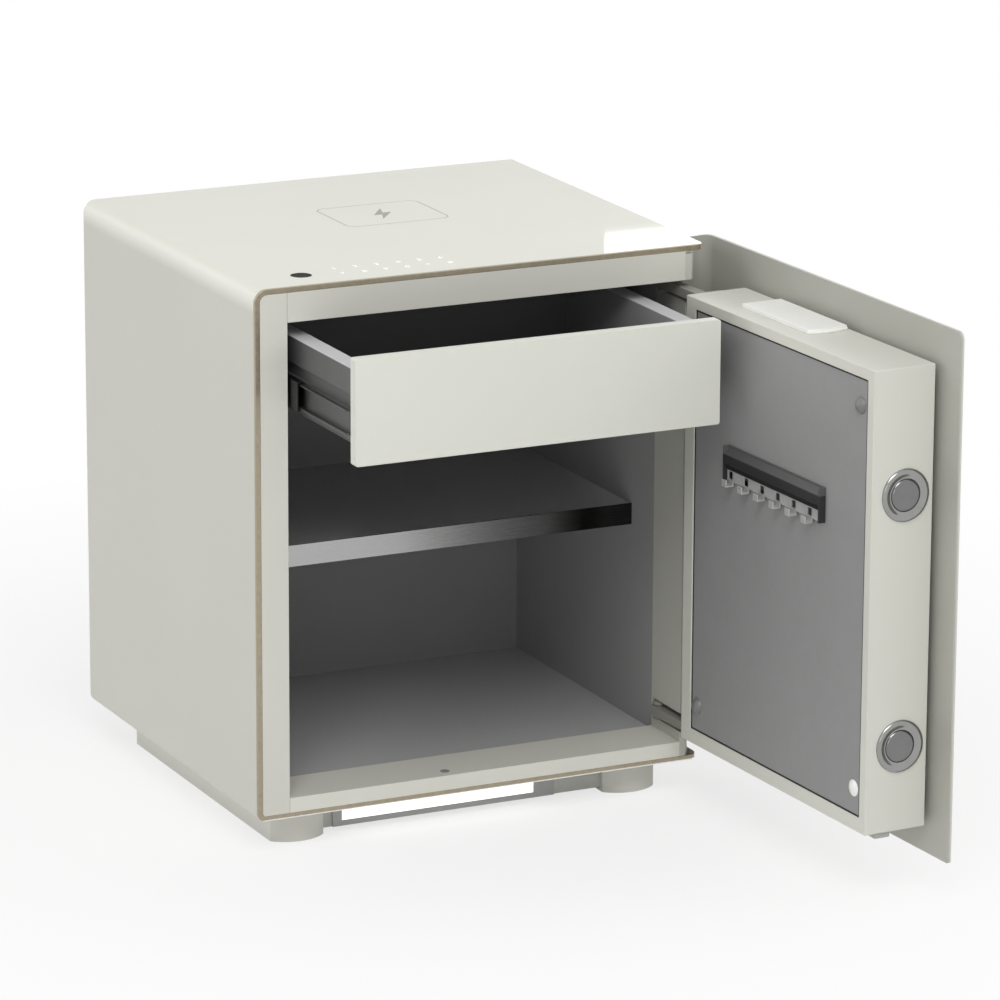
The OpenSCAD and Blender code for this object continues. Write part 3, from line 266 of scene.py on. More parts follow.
class Finish:
    """One Principled material. Its patterns lie on Object coordinates, in metres."""

    def __init__(self, name, roughness=0.5, metallic=0.0, specular=0.5):
        self.material = bpy.data.materials.new(name)
        self.material.use_nodes = True
        self.tree = self.material.node_tree
        self.tree.nodes.clear()
        self.output = self.node("ShaderNodeOutputMaterial")
        self.shader = self.node("ShaderNodeBsdfPrincipled")
        self.join(self.shader.outputs[0], self.output.inputs["Surface"])
        self.constant("Roughness", roughness)
        self.constant("Metallic", metallic)
        self.constant("Specular IOR Level", specular)
        self.place = self.node("ShaderNodeTexCoord").outputs["Object"]

    def node(self, kind, **settings):
        """A new node with its settings."""
        made = self.tree.nodes.new(kind)
        for key, value in settings.items():
            setattr(made, key, value)
        return made

    def join(self, start, end):
        """A link from one socket to another."""
        self.tree.links.new(start, end)

    def constant(self, socket, value):
        """A value that is the same all over the surface."""
        self.shader.inputs[socket].default_value = value

    def noise(self, scale, detail=2.0, stretch=(1.0, 1.0, 1.0)):
        """Noise with about `scale` spots to the metre, drawn out along an axis where stretch is below 1."""
        mapping = self.node("ShaderNodeMapping")
        mapping.inputs["Scale"].default_value = stretch
        self.join(self.place, mapping.inputs["Vector"])
        noise = self.node("ShaderNodeTexNoise")
        noise.inputs["Scale"].default_value = scale
        noise.inputs["Detail"].default_value = detail
        self.join(mapping.outputs[0], noise.inputs["Vector"])
        return noise.outputs[0]

    def spread(self, value, low, high, start=0.3, end=0.7):
        """Goes from low to high as the value goes from start to end, which fit a noise unless given."""
        spread = self.node("ShaderNodeMapRange")
        self.join(value, spread.inputs["Value"])
        for key, number in (("From Min", start), ("From Max", end), ("To Min", low), ("To Max", high)):
            spread.inputs[key].default_value = number
        return spread.outputs[0]

    def across(self, axis):
        """One of the Object coordinates, in metres."""
        parts = self.node("ShaderNodeSeparateXYZ")
        self.join(self.place, parts.inputs[0])
        return parts.outputs["XYZ".index(axis)]

    def blended(self, share, first, second):
        """A colour that goes from first to second with the share."""
        mix = self.node("ShaderNodeMix", data_type="RGBA")
        self.join(share, mix.inputs[0])
        for socket, value in ((mix.inputs[6], first), (mix.inputs[7], second)):
            if isinstance(value, tuple):
                socket.default_value = (*value, 1.0)
            else:
                self.join(value, socket)
        return mix.outputs[2]

    def swing(self, colour, vary, pattern):
        """A colour that swings by the share `vary` with the pattern."""
        return self.blended(self.spread(pattern, 0.0, 1.0), shaded(colour, 1.0 - vary),
                            shaded(colour, 1.0 + vary))

    def colour(self, colour, vary, pattern):
        """Base colour with a swing."""
        self.join(self.swing(colour, vary, pattern), self.shader.inputs["Base Color"])

    def zoned(self, colour, other, vary, pattern, zone):
        """Base colour that gives way to the other one where zone goes to 1."""
        mixed = self.blended(zone, self.swing(colour, vary, pattern), self.swing(other, vary, pattern))
        self.join(mixed, self.shader.inputs["Base Color"])

    def roughness(self, low, high, pattern):
        """Roughness between low and high with the pattern."""
        self.join(self.spread(pattern, low, high), self.shader.inputs["Roughness"])

    def bump(self, height, depth, strength=0.5):
        """Relief of `depth` metres."""
        bump = self.node("ShaderNodeBump")
        bump.inputs["Strength"].default_value = strength
        bump.inputs["Distance"].default_value = depth
        self.join(height, bump.inputs["Height"])
        self.join(bump.outputs[0], self.shader.inputs["Normal"])

    def stoved(self, rough, swing=0.02):
        """Stoved paint's surface: faint orange peel about 1.5 mm across, and a slow drift in sheen."""
        self.roughness(rough - swing, rough + swing, self.noise(*PAINT_SHEEN))
        self.bump(self.noise(*PAINT_PEEL), PEEL_DEPTH)


def powder_paint(name, colour, rough=0.42):
    """Stoved paint with a slow drift in tone."""
    made = Finish(name, roughness=rough)
    made.colour(colour, PAINT_SWING, made.noise(*PAINT_DRIFT))
    made.stoved(rough)
    return made.material


def shell_with_painted_gleam(name, colour, pale, rough=0.42):
    """The sheet wrap's stoved paint, paler towards its rounded top edges: a painted highlight for their gleam
    in soft light.
    """
    made = Finish(name, roughness=rough)
    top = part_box("outer_shell")[1][2]
    # The zone is the painted highlight: paler paint near the rounded top edges.
    zone = made.spread(made.across("Z"), 0.0, 1.0, start=top - GLEAM_START * MM, end=top - GLEAM_FULL * MM)
    made.zoned(colour, pale, PAINT_SWING, made.noise(*PAINT_DRIFT), zone)
    made.stoved(rough)
    return made.material


def door_sheet_paint_and_shade(name, inner, outer, rough=0.45):
    """Door sheet: stoved paint, with painted shade, a greyer tone, on the inner face and the plain paint on
    the outer one. The faces are told apart by the distance along the open door's outward normal."""
    made = Finish(name, roughness=rough)
    normal = (-LOCK_WAY[1], LOCK_WAY[0], 0.0)
    middle = door_place((DOOR_PIVOT[0], -PANEL_PROUD + PANEL_T / 2.0, 0.0))
    depth = made.node("ShaderNodeVectorMath", operation="DOT_PRODUCT")
    made.join(made.place, depth.inputs[0])
    depth.inputs[1].default_value = normal
    level = float(np.dot(middle, normal))
    # The zone gives the inner face its painted shade.
    zone = made.spread(depth.outputs["Value"], 1.0, 0.0,
                       start=level - INNER_SHADE_FADE * MM, end=level + INNER_SHADE_FADE * MM)
    made.zoned(outer, inner, PAINT_SWING, made.noise(*PAINT_DRIFT), zone)
    made.stoved(rough, swing=0.05)
    return made.material


def gloss_plate(name, colour):
    """Lacquered plate: a clear coat over a dull light base, and a ripple that only reflections show."""
    made = Finish(name, roughness=0.5, specular=0.25)
    made.constant("Coat Weight", 0.5)
    made.constant("Coat Roughness", 0.03)
    made.colour(colour, vary=0.006, pattern=made.noise(5.0, detail=1.0))
    made.roughness(low=0.46, high=0.54, pattern=made.noise(20.0))
    return made.material


def bronze_with_painted_gleam(name, colour, gleam_colour, rough=0.34):
    """Anodised strip with fine grain, and a painted highlight, a light line, along its bottom."""
    made = Finish(name, roughness=rough, metallic=0.7)
    grain = made.noise(900.0, stretch=(0.25, 1.0, 0.25))
    bottom = (BODY_ORIGIN[2] + TRIM_GLEAM_H) * MM
    # The zone is the painted highlight along the bottom.
    zone = made.spread(made.across("Z"), 1.0, 0.0, start=bottom, end=bottom + TRIM_GLEAM_FADE * MM)
    made.zoned(colour, gleam_colour, vary=0.08, pattern=grain, zone=zone)
    made.roughness(low=rough - 0.06, high=rough + 0.08, pattern=grain)
    made.bump(grain, depth=0.00002)
    return made.material


def lining_felt(name, colour, rough=0.9):
    """Short-pile lining: dense speckle about 0.8 mm across with soft shading over it."""
    made = Finish(name, roughness=rough, specular=0.25)
    made.constant("Sheen Weight", 0.15)
    made.constant("Sheen Roughness", 0.5)
    pile = made.noise(1300.0, detail=3.0)
    made.colour(colour, vary=0.08, pattern=pile)
    made.roughness(low=rough - 0.06, high=rough + 0.06, pattern=made.noise(60.0))
    made.bump(pile, depth=0.00012)
    return made.material


def brushed(name, colour, rough):
    """Rolled metal: hairlines drawn out from front to back."""
    made = Finish(name, roughness=rough, metallic=1.0)
    lines = made.noise(2200.0, stretch=(1.0, 0.03, 1.0))
    made.colour(colour, vary=0.08, pattern=lines)
    made.roughness(low=rough - 0.07, high=rough + 0.08, pattern=lines)
    made.bump(lines, depth=0.000015)
    return made.material


def reflection_painted_lip(name, tones):
    """Rolled lip: hairlines too fine to see one by one, and tones that fall off to the right, by the hinge, a
    painted reflection.
    Each tone is a grey that is reached over a stretch, given in shares of the lip's length."""
    made = Finish(name, roughness=0.27, metallic=1.0)
    low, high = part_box("shelf_lip")
    width = high[0] - low[0]
    lines = made.noise(5200.0, detail=1.0, stretch=(0.004, 1.0, 1.0))
    shade, place = made.swing((tones[0][0],) * 3, 0.006, lines), made.across("X")
    for grey, start, end in tones[1:]:
        zone = made.spread(place, 0.0, 1.0, low[0] + start * width, low[0] + end * width)
        shade = made.blended(zone, shade, (grey,) * 3)
    made.join(shade, made.shader.inputs["Base Color"])
    made.roughness(low=0.26, high=0.28, pattern=lines)
    return made.material


def shaded_drawer_side_paint(name, rim, inner, outer):
    """Drawer side: painted light and shade, a light rolled rim, a grey inner face and a dark outer face. The
    rim is told by its height and the outer face by its distance from the drawer's middle."""
    made = Finish(name, roughness=0.42)
    low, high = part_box("drawer_side_left")
    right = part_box("drawer_side_right")[1][0]
    middle, half = (low[0] + right) / 2.0, (right - low[0]) / 2.0 - 0.5 * (high[0] - low[0])
    offset = made.node("ShaderNodeMath", operation="SUBTRACT")
    made.join(made.across("X"), offset.inputs[0])
    offset.inputs[1].default_value = middle
    size = made.node("ShaderNodeMath", operation="ABSOLUTE")
    made.join(offset.outputs[0], size.inputs[0])
    # outside marks the outer faces' painted shade, below marks the rim's painted light.
    outside = made.spread(size.outputs[0], 0.0, 1.0, start=half - SIDE_FADE * MM, end=half + SIDE_FADE * MM)
    below = made.spread(made.across("Z"), 1.0, 0.0, start=high[2] - RIM_LIGHT_END * MM, end=high[2] - RIM_LIGHT_FULL * MM)
    tone = made.blended(below, rim, made.blended(outside, inner, outer))
    made.join(tone, made.shader.inputs["Base Color"])
    made.roughness(low=0.38, high=0.46, pattern=made.noise(60.0))
    made.bump(made.noise(800.0), depth=0.00003, strength=0.4)
    return made.material


def painted_light_and_shade_band(name, node, fold, upper, lower, rough=0.5, metallic=0.0):
    """Satin metal with another tone above the fold, which lies at that share of the node's height. On the
    hook rail the upper tone is painted light, on the hook strip painted shade.
    """
    made = Finish(name, roughness=rough, metallic=metallic)
    low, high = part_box(node)
    level = low[2] + fold * (high[2] - low[2])
    zone = made.spread(made.across("Z"), 0.0, 1.0, start=level - FOLD_FADE * MM, end=level + FOLD_FADE * MM)
    made.zoned(lower, upper, vary=0.02, pattern=made.noise(30.0), zone=zone)
    made.roughness(low=rough - 0.04, high=rough + 0.04, pattern=made.noise(60.0))
    return made.material


def plated(name, colour, rough, metallic=1.0):
    """Plated or polished metal: faint clouding, hardly any relief."""
    made = Finish(name, roughness=rough, metallic=metallic)
    made.colour(colour, vary=0.04, pattern=made.noise(90.0))
    made.roughness(low=rough - 0.05, high=rough + 0.06, pattern=made.noise(240.0, detail=3.0))
    made.bump(made.noise(400.0), depth=0.00001, strength=0.4)
    return made.material


def moulded(name, colour, rough=0.55, grain=900.0, depth=0.00003, specular=0.5):
    """Moulded plastic: fine spark-eroded grain."""
    made = Finish(name, roughness=rough, specular=specular)
    made.colour(colour, vary=0.02, pattern=made.noise(25.0))
    made.roughness(low=rough - 0.05, high=rough + 0.05, pattern=made.noise(120.0))
    made.bump(made.noise(grain), depth)
    return made.material


def lit_plastic(name, colour, strength):
    """Opal plastic that glows, a touch brighter in patches. The night light's diffuser is lit from inside; on
    the printed touch digits the glow is painted light.
    """
    made = Finish(name)
    cloud = made.noise(40.0, detail=1.0)
    made.colour(colour, vary=0.02, pattern=cloud)
    made.constant("Emission Color", (*colour, 1.0))
    glow = made.spread(cloud, low=strength * 0.97, high=strength)
    made.join(glow, made.shader.inputs["Emission Strength"])
    return made.material


def make_finishes(colours):
    """Every finish, by the record's slot, and those of single pieces that differ from their slot's."""
    return {
        "cream_paint": powder_paint("cream_paint_finish", colours.cream),
        # Outer shell: cream paint with a painted highlight, paler, along its rounded top edges.
        "shell_with_painted_gleam": shell_with_painted_gleam("shell_paint_finish", colours.cream, PAINTED_GLEAM_TONE),
        "frame_paint": powder_paint("frame_paint_finish", colours.jamb, rough=0.4),
        # Hinge side's jamb: frame paint darkened, painted shade. Sill: frame paint lightened, painted light.
        "shaded_reveal_paint": powder_paint("reveal_paint_finish", shaded(colours.jamb, REVEAL_SHADE_SHARE), rough=0.45),
        "lit_sill_paint": powder_paint("sill_paint_finish", shaded(colours.jamb, SILL_LIGHT_SHARE), rough=0.4),
        # Door sheet: cream outside, painted shade on the inner face.
        "door_paint": door_sheet_paint_and_shade("door_paint_finish", colours.door_sheet_inner_shade, colours.cream),
        "casing_cream": powder_paint("casing_paint_finish", colours.casing, rough=0.38),
        "drawer_paint": powder_paint("drawer_paint_finish", colours.drawer, rough=0.4),
        "gloss_top": gloss_plate("gloss_top_finish", colours.top),
        # Bronze trim with a painted highlight along its bottom.
        "bronze_trim": bronze_with_painted_gleam("bronze_trim_finish", colours.bronze, TRIM_GLEAM_TONE),
        "dark_lining": lining_felt("dark_lining_finish", colours.lining),
        "grey_mat": lining_felt("grey_mat_finish", (0.440, 0.440, 0.442), rough=0.85),
        "drawer_felt": lining_felt("drawer_felt_finish", (0.075, 0.075, 0.076)),
        "inner_steel": powder_paint("inner_steel_finish", (0.220, 0.220, 0.222), rough=0.6),
        "shelf_paint": powder_paint("shelf_paint_finish", (0.640, 0.640, 0.643), rough=0.5),
        # Shelf's lip: tones along it that are a painted reflection.
        "bright_lip": reflection_painted_lip("bright_lip_finish", LIP_REFLECTION_TONES),
        "zinc_steel": brushed("zinc_steel_finish", (0.115, 0.115, 0.115), rough=0.42),
        "slide_dark": brushed("slide_dark_finish", (0.040, 0.040, 0.040), rough=0.45),
        # Hinge arms and plates: frame paint darkened, painted shade.
        "shaded_hinge_paint": powder_paint("hinge_paint_finish", shaded(colours.jamb, HINGE_SHADE_SHARE), rough=0.5),
        "skid_grey": moulded("skid_finish", (0.730, 0.725, 0.670)),
        "bar_grey": powder_paint("bar_finish", (0.560, 0.560, 0.530), rough=0.5),
        "light_grey": moulded("light_housing_finish", (0.440, 0.440, 0.440)),
        "sensor_black": moulded("sensor_finish", (0.012, 0.013, 0.010), rough=0.5, grain=300.0,
                                depth=0.00001, specular=0.05),
        "sill_sensor": moulded("sill_sensor_finish", (0.300, 0.300, 0.290), rough=0.35),
        # Printed touch digits with a faint glow: painted light.
        "mark_white": lit_plastic("touch_digit_finish", (0.95, 0.95, 0.93), strength=0.25),
        "mark_grey": moulded("charging_mark_finish", (0.360, 0.360, 0.340), rough=0.5),
        "black_plastic": moulded("black_plastic_finish", (0.020, 0.020, 0.020)),
        "glide_nylon": moulded("glide_nylon_finish", (0.420, 0.420, 0.400), rough=0.4),
        "plate_grey": moulded("back_plate_finish", colours.plate, rough=0.6, grain=700.0, depth=0.00005),
        "gasket_rubber": moulded("gasket_finish", (0.010, 0.010, 0.010), rough=0.7),
        "bezel_steel": plated("bolt_ring_finish", (0.31, 0.31, 0.305), rough=0.10),
        "bolt_steel": plated("bolt_finish", (0.20, 0.20, 0.20), rough=0.14),
        # Hook rail: lighter sloped top, painted light. Hook strip: dark top, painted shade.
        "rail_dark": painted_light_and_shade_band("hook_rail_finish", "hook_rail", RAIL_LIGHT_FOLD,
                              upper=(0.085, 0.085, 0.086), lower=(0.022, 0.022, 0.023)),
        "hook_strip": painted_light_and_shade_band("hook_strip_finish", "hook_strip", STRIP_SHADE_FOLD,
                               upper=(0.030, 0.030, 0.031), lower=(0.560, 0.560, 0.550),
                               rough=0.32, metallic=0.35),
        "hook_bright": plated("key_hook_finish", (0.56, 0.56, 0.55), rough=0.32, metallic=0.35),
        "cap_grey": moulded("panel_cap_finish", (0.185, 0.185, 0.182), rough=0.35),
        "cover_white": moulded("battery_cover_finish", (0.920, 0.920, 0.885), rough=0.35),
        "brass": plated("brass_washer_finish", (0.55, 0.38, 0.10), rough=0.3),
        # Drawer sides: painted light on the rim, painted shade on the inner and, darker, the outer face.
        "drawer_grey": shaded_drawer_side_paint("drawer_side_finish", RIM_LIT_TONE, INNER_FACE_SHADE, OUTER_FACE_SHADE),
        "drawer_inner": powder_paint("drawer_floor_finish", (0.065, 0.065, 0.066), rough=0.5),
        "drawer_back": powder_paint("drawer_back_finish", (0.200, 0.200, 0.202), rough=0.5),
        "lit_diffuser": lit_plastic("diffuser_finish", (1.0, 1.0, 1.0), strength=1.0),
    }


FINISHES = {}


def finish_for(slot):
    """The slot's finish. All are made at the first call."""
    if not FINISHES:
        FINISHES.update(make_finishes(bpy.context.scene.safe_colours))
    return FINISHES[slot]


# Softened edges on the CAD nodes

def smoothing_nodes(limit):
    """Geometry nodes that shade a mesh smooth but for edges sharper than limit."""
    group = bpy.data.node_groups.new("smooth_by_angle", "GeometryNodeTree")
    group.interface.new_socket("Geometry", in_out="INPUT", socket_type="NodeSocketGeometry")
    group.interface.new_socket("Geometry", in_out="OUTPUT", socket_type="NodeSocketGeometry")
    make = group.nodes.new
    start, end = make("NodeGroupInput"), make("NodeGroupOutput")
    drop = make("GeometryNodeRemoveAttribute")
    drop.inputs["Name"].default_value = "custom_normal"
    faces = make("GeometryNodeSetShadeSmooth")
    faces.domain = "FACE"
    edges = make("GeometryNodeSetShadeSmooth")
    edges.domain = "EDGE"
    edges.inputs["Shade Smooth"].default_value = False
    angle = make("GeometryNodeInputMeshEdgeAngle")
    sharp = make("FunctionNodeCompare")
    sharp.data_type = "FLOAT"
    sharp.operation = "GREATER_THAN"
    sharp.inputs[1].default_value = limit
    link = group.links.new
    link(start.outputs[0], drop.inputs[0])
    link(drop.outputs[0], faces.inputs["Geometry"])
    link(faces.outputs[0], edges.inputs["Geometry"])
    link(angle.outputs[0], sharp.inputs[0])
    link(sharp.outputs[0], edges.inputs["Selection"])
    link(edges.outputs[0], end.inputs[0])
    return group


SMOOTHING = []


def soften(piece, width):
    """Joins the loose triangles, merges flat ones, rounds the sharp edges unless width is 0, and evens the
    shading."""
    if not SMOOTHING:
        SMOOTHING.append(smoothing_nodes(math.radians(SMOOTH_BELOW)))
    weld = piece.modifiers.new("join", "WELD")
    weld.merge_threshold = WELD_DISTANCE
    flat = piece.modifiers.new("merge_flat", "DECIMATE")
    flat.decimate_type = "DISSOLVE"
    flat.angle_limit = math.radians(FLAT_BELOW)
    if width > 0.0:
        bevel = piece.modifiers.new("soft_edges", "BEVEL")
        bevel.width = width
        bevel.segments = BEVEL_STEPS
        bevel.limit_method = "ANGLE"
        bevel.angle_limit = math.radians(BEVEL_ABOVE)
        bevel.use_clamp_overlap = True
        bevel.miter_outer = "MITER_ARC"
    shade = piece.modifiers.new("shade", "NODES")
    shade.node_group = SMOOTHING[0]
    even = piece.modifiers.new("even", "WEIGHTED_NORMAL")
    even.keep_sharp = True
    even.weight = NORMAL_WEIGHT


def dress(names, width, finish=None):
    """Gives CAD nodes their slot's finish, or the one that is named, and softened edges unless width is
    None."""
    for name in names:
        piece = NODES[name]
        material = finish_for(finish or SLOTS[name])
        for holder in piece.material_slots:
            holder.material = material
        if width is not None:
            soften(piece, width)


class SAFE_OT_dress_body(bpy.types.Operator):
    """Finishes of the outer shell, top plate, back, trim and front frame"""

    bl_idname = "safe.dress_body"
    bl_label = "Dress body"

    def execute(self, context):
        sizes = context.scene.safe_sizes
        dress(("outer_shell",), sizes.edge_soft * SHEET_SHARE, "shell_with_painted_gleam")
        dress(("top_panel", "back_panel"), sizes.edge_soft * SHEET_SHARE)
        dress(("front_trim",), sizes.edge_soft)
        dress(("left_jamb", "lintel"), sizes.edge_fine)
        # Hinge side's jamb in painted shade, sill in painted light.
        dress(("right_jamb",), sizes.edge_fine, "shaded_reveal_paint")
        dress(("sill",), sizes.edge_fine, "lit_sill_paint")
        dress(("fingerprint_sensor", "power_inlet"), sizes.edge_fine)
        dress(("sill_sensor",), sizes.edge_fine, "sill_sensor")
        dress(("charging_mark",), None)
        return {"FINISHED"}


class SAFE_OT_dress_inside(bpy.types.Operator):
    """Finishes of the inner box, lining, shelf, slides and hinge"""

    bl_idname = "safe.dress_inside"
    bl_label = "Dress inside"

    def execute(self, context):
        sizes = context.scene.safe_sizes
        dress(("inner_box", "interior_lining", "floor_mat"), None)
        dress(("shelf_plate", "shelf_brackets", "shelf_lip"), sizes.edge_fine)
        dress(("slide_channel",), sizes.edge_fine, "zinc_steel")
        dress(("slide_drawer_left", "slide_drawer_right"), sizes.edge_fine * SLIDE_SHARE)
        dress(("slide_fixed_left", "slide_fixed_right", "slide_mid_left", "slide_mid_right"),
              sizes.edge_fine * SLIDE_SHARE, "slide_dark")
        dress(("hinge_pins", "hinge_washers"), sizes.edge_fine)
        # Hinge plates in painted shade.
        dress(("hinge_plates",), sizes.edge_fine, "shaded_hinge_paint")
        return {"FINISHED"}


class SAFE_OT_dress_base(bpy.types.Operator):
    """Finishes of the skids, cross bar and night light"""

    bl_idname = "safe.dress_base"
    bl_label = "Dress base"

    def execute(self, context):
        sizes = context.scene.safe_sizes
        dress(("left_skid", "right_skid"), sizes.edge_soft)
        dress(("plinth_crossbar", "light_housing", "light_diffuser"), sizes.edge_fine)
        return {"FINISHED"}


class SAFE_OT_dress_door(bpy.types.Operator):
    """Finishes of the door, its lock and its hinge arms"""

    bl_idname = "safe.dress_door"
    bl_label = "Dress door"

    def execute(self, context):
        sizes = context.scene.safe_sizes
        dress(("door_panel", "battery_cover"), sizes.edge_soft * SHEET_SHARE)
        dress(("door_casing", "bolt_bezels", "lock_bolts"), sizes.edge_soft)
        dress(("door_glide",), sizes.edge_soft, "glide_nylon")
        dress(("door_back_plate", "door_gasket", "hook_rail", "key_hooks", "panel_caps", "white_cap"),
              sizes.edge_fine)
        dress(("hook_strip",), sizes.edge_fine, "hook_strip")
        # Hinge arms in painted shade.
        dress(("hinge_arm_top", "hinge_arm_bottom", "hinge_screws"), sizes.edge_fine, "shaded_hinge_paint")
        dress(("door_spacer", "lock_motor", "bolt_yoke"), None)
        return {"FINISHED"}


class SAFE_OT_dress_drawer(bpy.types.Operator):
    """Finishes of the drawer"""

    bl_idname = "safe.dress_drawer"
    bl_label = "Dress drawer"

    def execute(self, context):
        sizes = context.scene.safe_sizes
        dress(("drawer_front", "drawer_side_left", "drawer_side_right"), sizes.edge_fine * DRAWER_SHARE)
        dress(("drawer_back",), sizes.edge_fine, "drawer_back")
        dress(("drawer_floor",), None)
        dress(("drawer_mat",), None, "drawer_felt")
        return {"FINISHED"}


# Fittings

def digit_shape(mark, size):
    """Vertices and faces of one character, flat, centred on its box."""
    curve = bpy.data.curves.new("digit", "FONT")
    curve.body = mark
    curve.size = size
    curve.align_x = "CENTER"
    curve.align_y = "CENTER"
    curve.resolution_u = KEY_CURVE_STEPS
    holder = bpy.data.objects.new("digit", curve)
    bpy.context.scene.collection.objects.link(holder)
    bpy.context.view_layer.update()
    mesh = bpy.data.meshes.new_from_object(holder)
    places = np.empty(len(mesh.vertices) * 3)
    mesh.vertices.foreach_get("co", places)
    faces = [list(face.vertices) for face in mesh.polygons]
    bpy.data.objects.remove(holder)
    bpy.data.curves.remove(curve)
    bpy.data.meshes.remove(mesh)
    return places.reshape(-1, 3), faces


class SAFE_OT_touch_digits(bpy.types.Operator):
    """Thin printed digits in place of the round touch marks"""

    bl_idname = "safe.touch_digits"
    bl_label = "Touch digits"

    def execute(self, context):
        sizes = context.scene.safe_sizes
        low, high = (np.array(corner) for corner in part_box("touch_keys"))
        half = (high[1] - low[1] - KEY_ROW_PITCH) / 2.0
        columns = np.linspace(low[0] + half, high[0] - half, len(KEY_ROWS[0]))
        rows = (high[1] - half, low[1] + half)
        points, faces = [], []
        count = 0
        for row, marks in zip(rows, KEY_ROWS):
            for column, mark in zip(columns, marks):
                shape, parts = digit_shape(mark, sizes.digit_size)
                points.append(shape + np.array([column, row, low[2]]))
                faces += [[index + count for index in part] for part in parts]
                count += len(shape)
        piece = mesh_piece("touch_digits", np.concatenate(points), faces, finish_for("mark_white"),
                           "carcass", False)
        solid = piece.modifiers.new("thickness", "SOLIDIFY")
        solid.thickness = sizes.digit_rise
        solid.offset = 1.0
        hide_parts("touch_keys")
        return {"FINISHED"}


def turned(section, centre, way, steps):
    """Vertices and faces of a closed section turned about the line through centre along way. A point (r, h)
    of the section goes to centre + h way + r (cos t side + sin t up), with t from 0 to 2 pi."""
    angle = np.linspace(0.0, 2.0 * math.pi, steps, endpoint=False)[:, None]
    up = np.array([0.0, 0.0, 1.0])
    spoke = np.cos(angle) * np.cross(up, way) + np.sin(angle) * up
    points = centre + section[None, :, 1:] * way + section[None, :, :1] * spoke[:, None, :]
    count = len(section)
    row, column = np.meshgrid(np.arange(steps), np.arange(count), indexing="ij")
    next_row, next_column = (row + 1) % steps * count, (column + 1) % count
    row = row * count
    faces = np.stack((row + column, next_row + column, next_row + next_column, row + next_column), axis=-1)
    return points.reshape(-1, 3), faces.reshape(-1, 4)


def ring_section():
    """Radius and height round the bolt ring's section. The rim is a quarter of an ellipse, h = T sin a and
    r = R - w (1 - cos a), and the face falls to the bore as T - (T - D) (1 - cos(pi u)) / 2 with u from 0
    at the rim to 1."""
    sleeve = np.array([[RING_BORE, -SLEEVE_L], [RING_BORE + SLEEVE_T, -SLEEVE_L],
                       [RING_BORE + SLEEVE_T, 0.0]])
    angle = np.linspace(0.0, math.pi / 2.0, RIM_POINTS)
    rim = np.stack((RING_R - RING_RIM * (1.0 - np.cos(angle)), RING_T * np.sin(angle)), axis=-1)
    share = np.linspace(0.0, 1.0, FACE_POINTS + 1)[1:]
    radius = RING_R - RING_RIM + (RING_BORE - RING_R + RING_RIM) * share
    height = RING_T - (RING_T - RING_DISH) * (1.0 - np.cos(math.pi * share)) / 2.0
    return np.concatenate((sleeve, rim, np.stack((radius, height), axis=-1)))


class SAFE_OT_bolt_rings(bpy.types.Operator):
    """Turned rings round the bolts, with a rounded rim and a dished face"""

    bl_idname = "safe.bolt_rings"
    bl_label = "Bolt rings"

    def execute(self, context):
        low, high = (np.array(corner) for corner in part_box("lock_bolts"))
        way = np.array([*LOCK_WAY, 0.0])
        length = (high[1] - low[1] - 2.0 * BOLT_R * MM * abs(way[0])) / abs(way[1])
        foot = (low + high) / 2.0 + way * (length / 2.0 + (BOLT_SUNK - RING_T) * MM)
        points, faces = [], []
        for height in (low[2] + BOLT_R * MM, high[2] - BOLT_R * MM):
            centre = np.array([foot[0], foot[1], height])
            ring, parts = turned(ring_section() * MM, centre, way, context.scene.safe_sizes.turn_steps)
            faces.append(parts + len(ring) * len(points))
            points.append(ring)
        piece = mesh_piece("bolt_rings", np.concatenate(points), np.concatenate(faces).tolist(),
                           finish_for("bezel_steel"), "door")
        soften(piece, 0.0)
        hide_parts("bolt_bezels")
        return {"FINISHED"}


# Stage

def area_lamp(name, place, target, width, height, power):
    """A rectangular lamp at place that faces target."""
    lamp = bpy.data.lights.new(name, "AREA")
    lamp.shape = "RECTANGLE"
    lamp.size = width
    lamp.size_y = height
    lamp.energy = power
    holder = bpy.data.objects.new(name, lamp)
    bpy.context.scene.collection.objects.link(holder)
    holder.location = place
    way = Vector(target) - Vector(place)
    holder.rotation_euler = way.to_track_quat("-Z", "Y").to_euler()
    return holder


def seen_directly(tree):
    """1 on rays from the camera and on those sent on by a reflection or by glass, else 0."""
    path = tree.nodes.new("ShaderNodeLightPath")
    seen = path.outputs["Is Camera Ray"]
    for kind in ("Is Glossy Ray", "Is Transmission Ray"):
        either = tree.nodes.new("ShaderNodeMath")
        either.operation = "MAXIMUM"
        tree.links.new(seen, either.inputs[0])
        tree.links.new(path.outputs[kind], either.inputs[1])
        seen = either.outputs[0]
    return seen


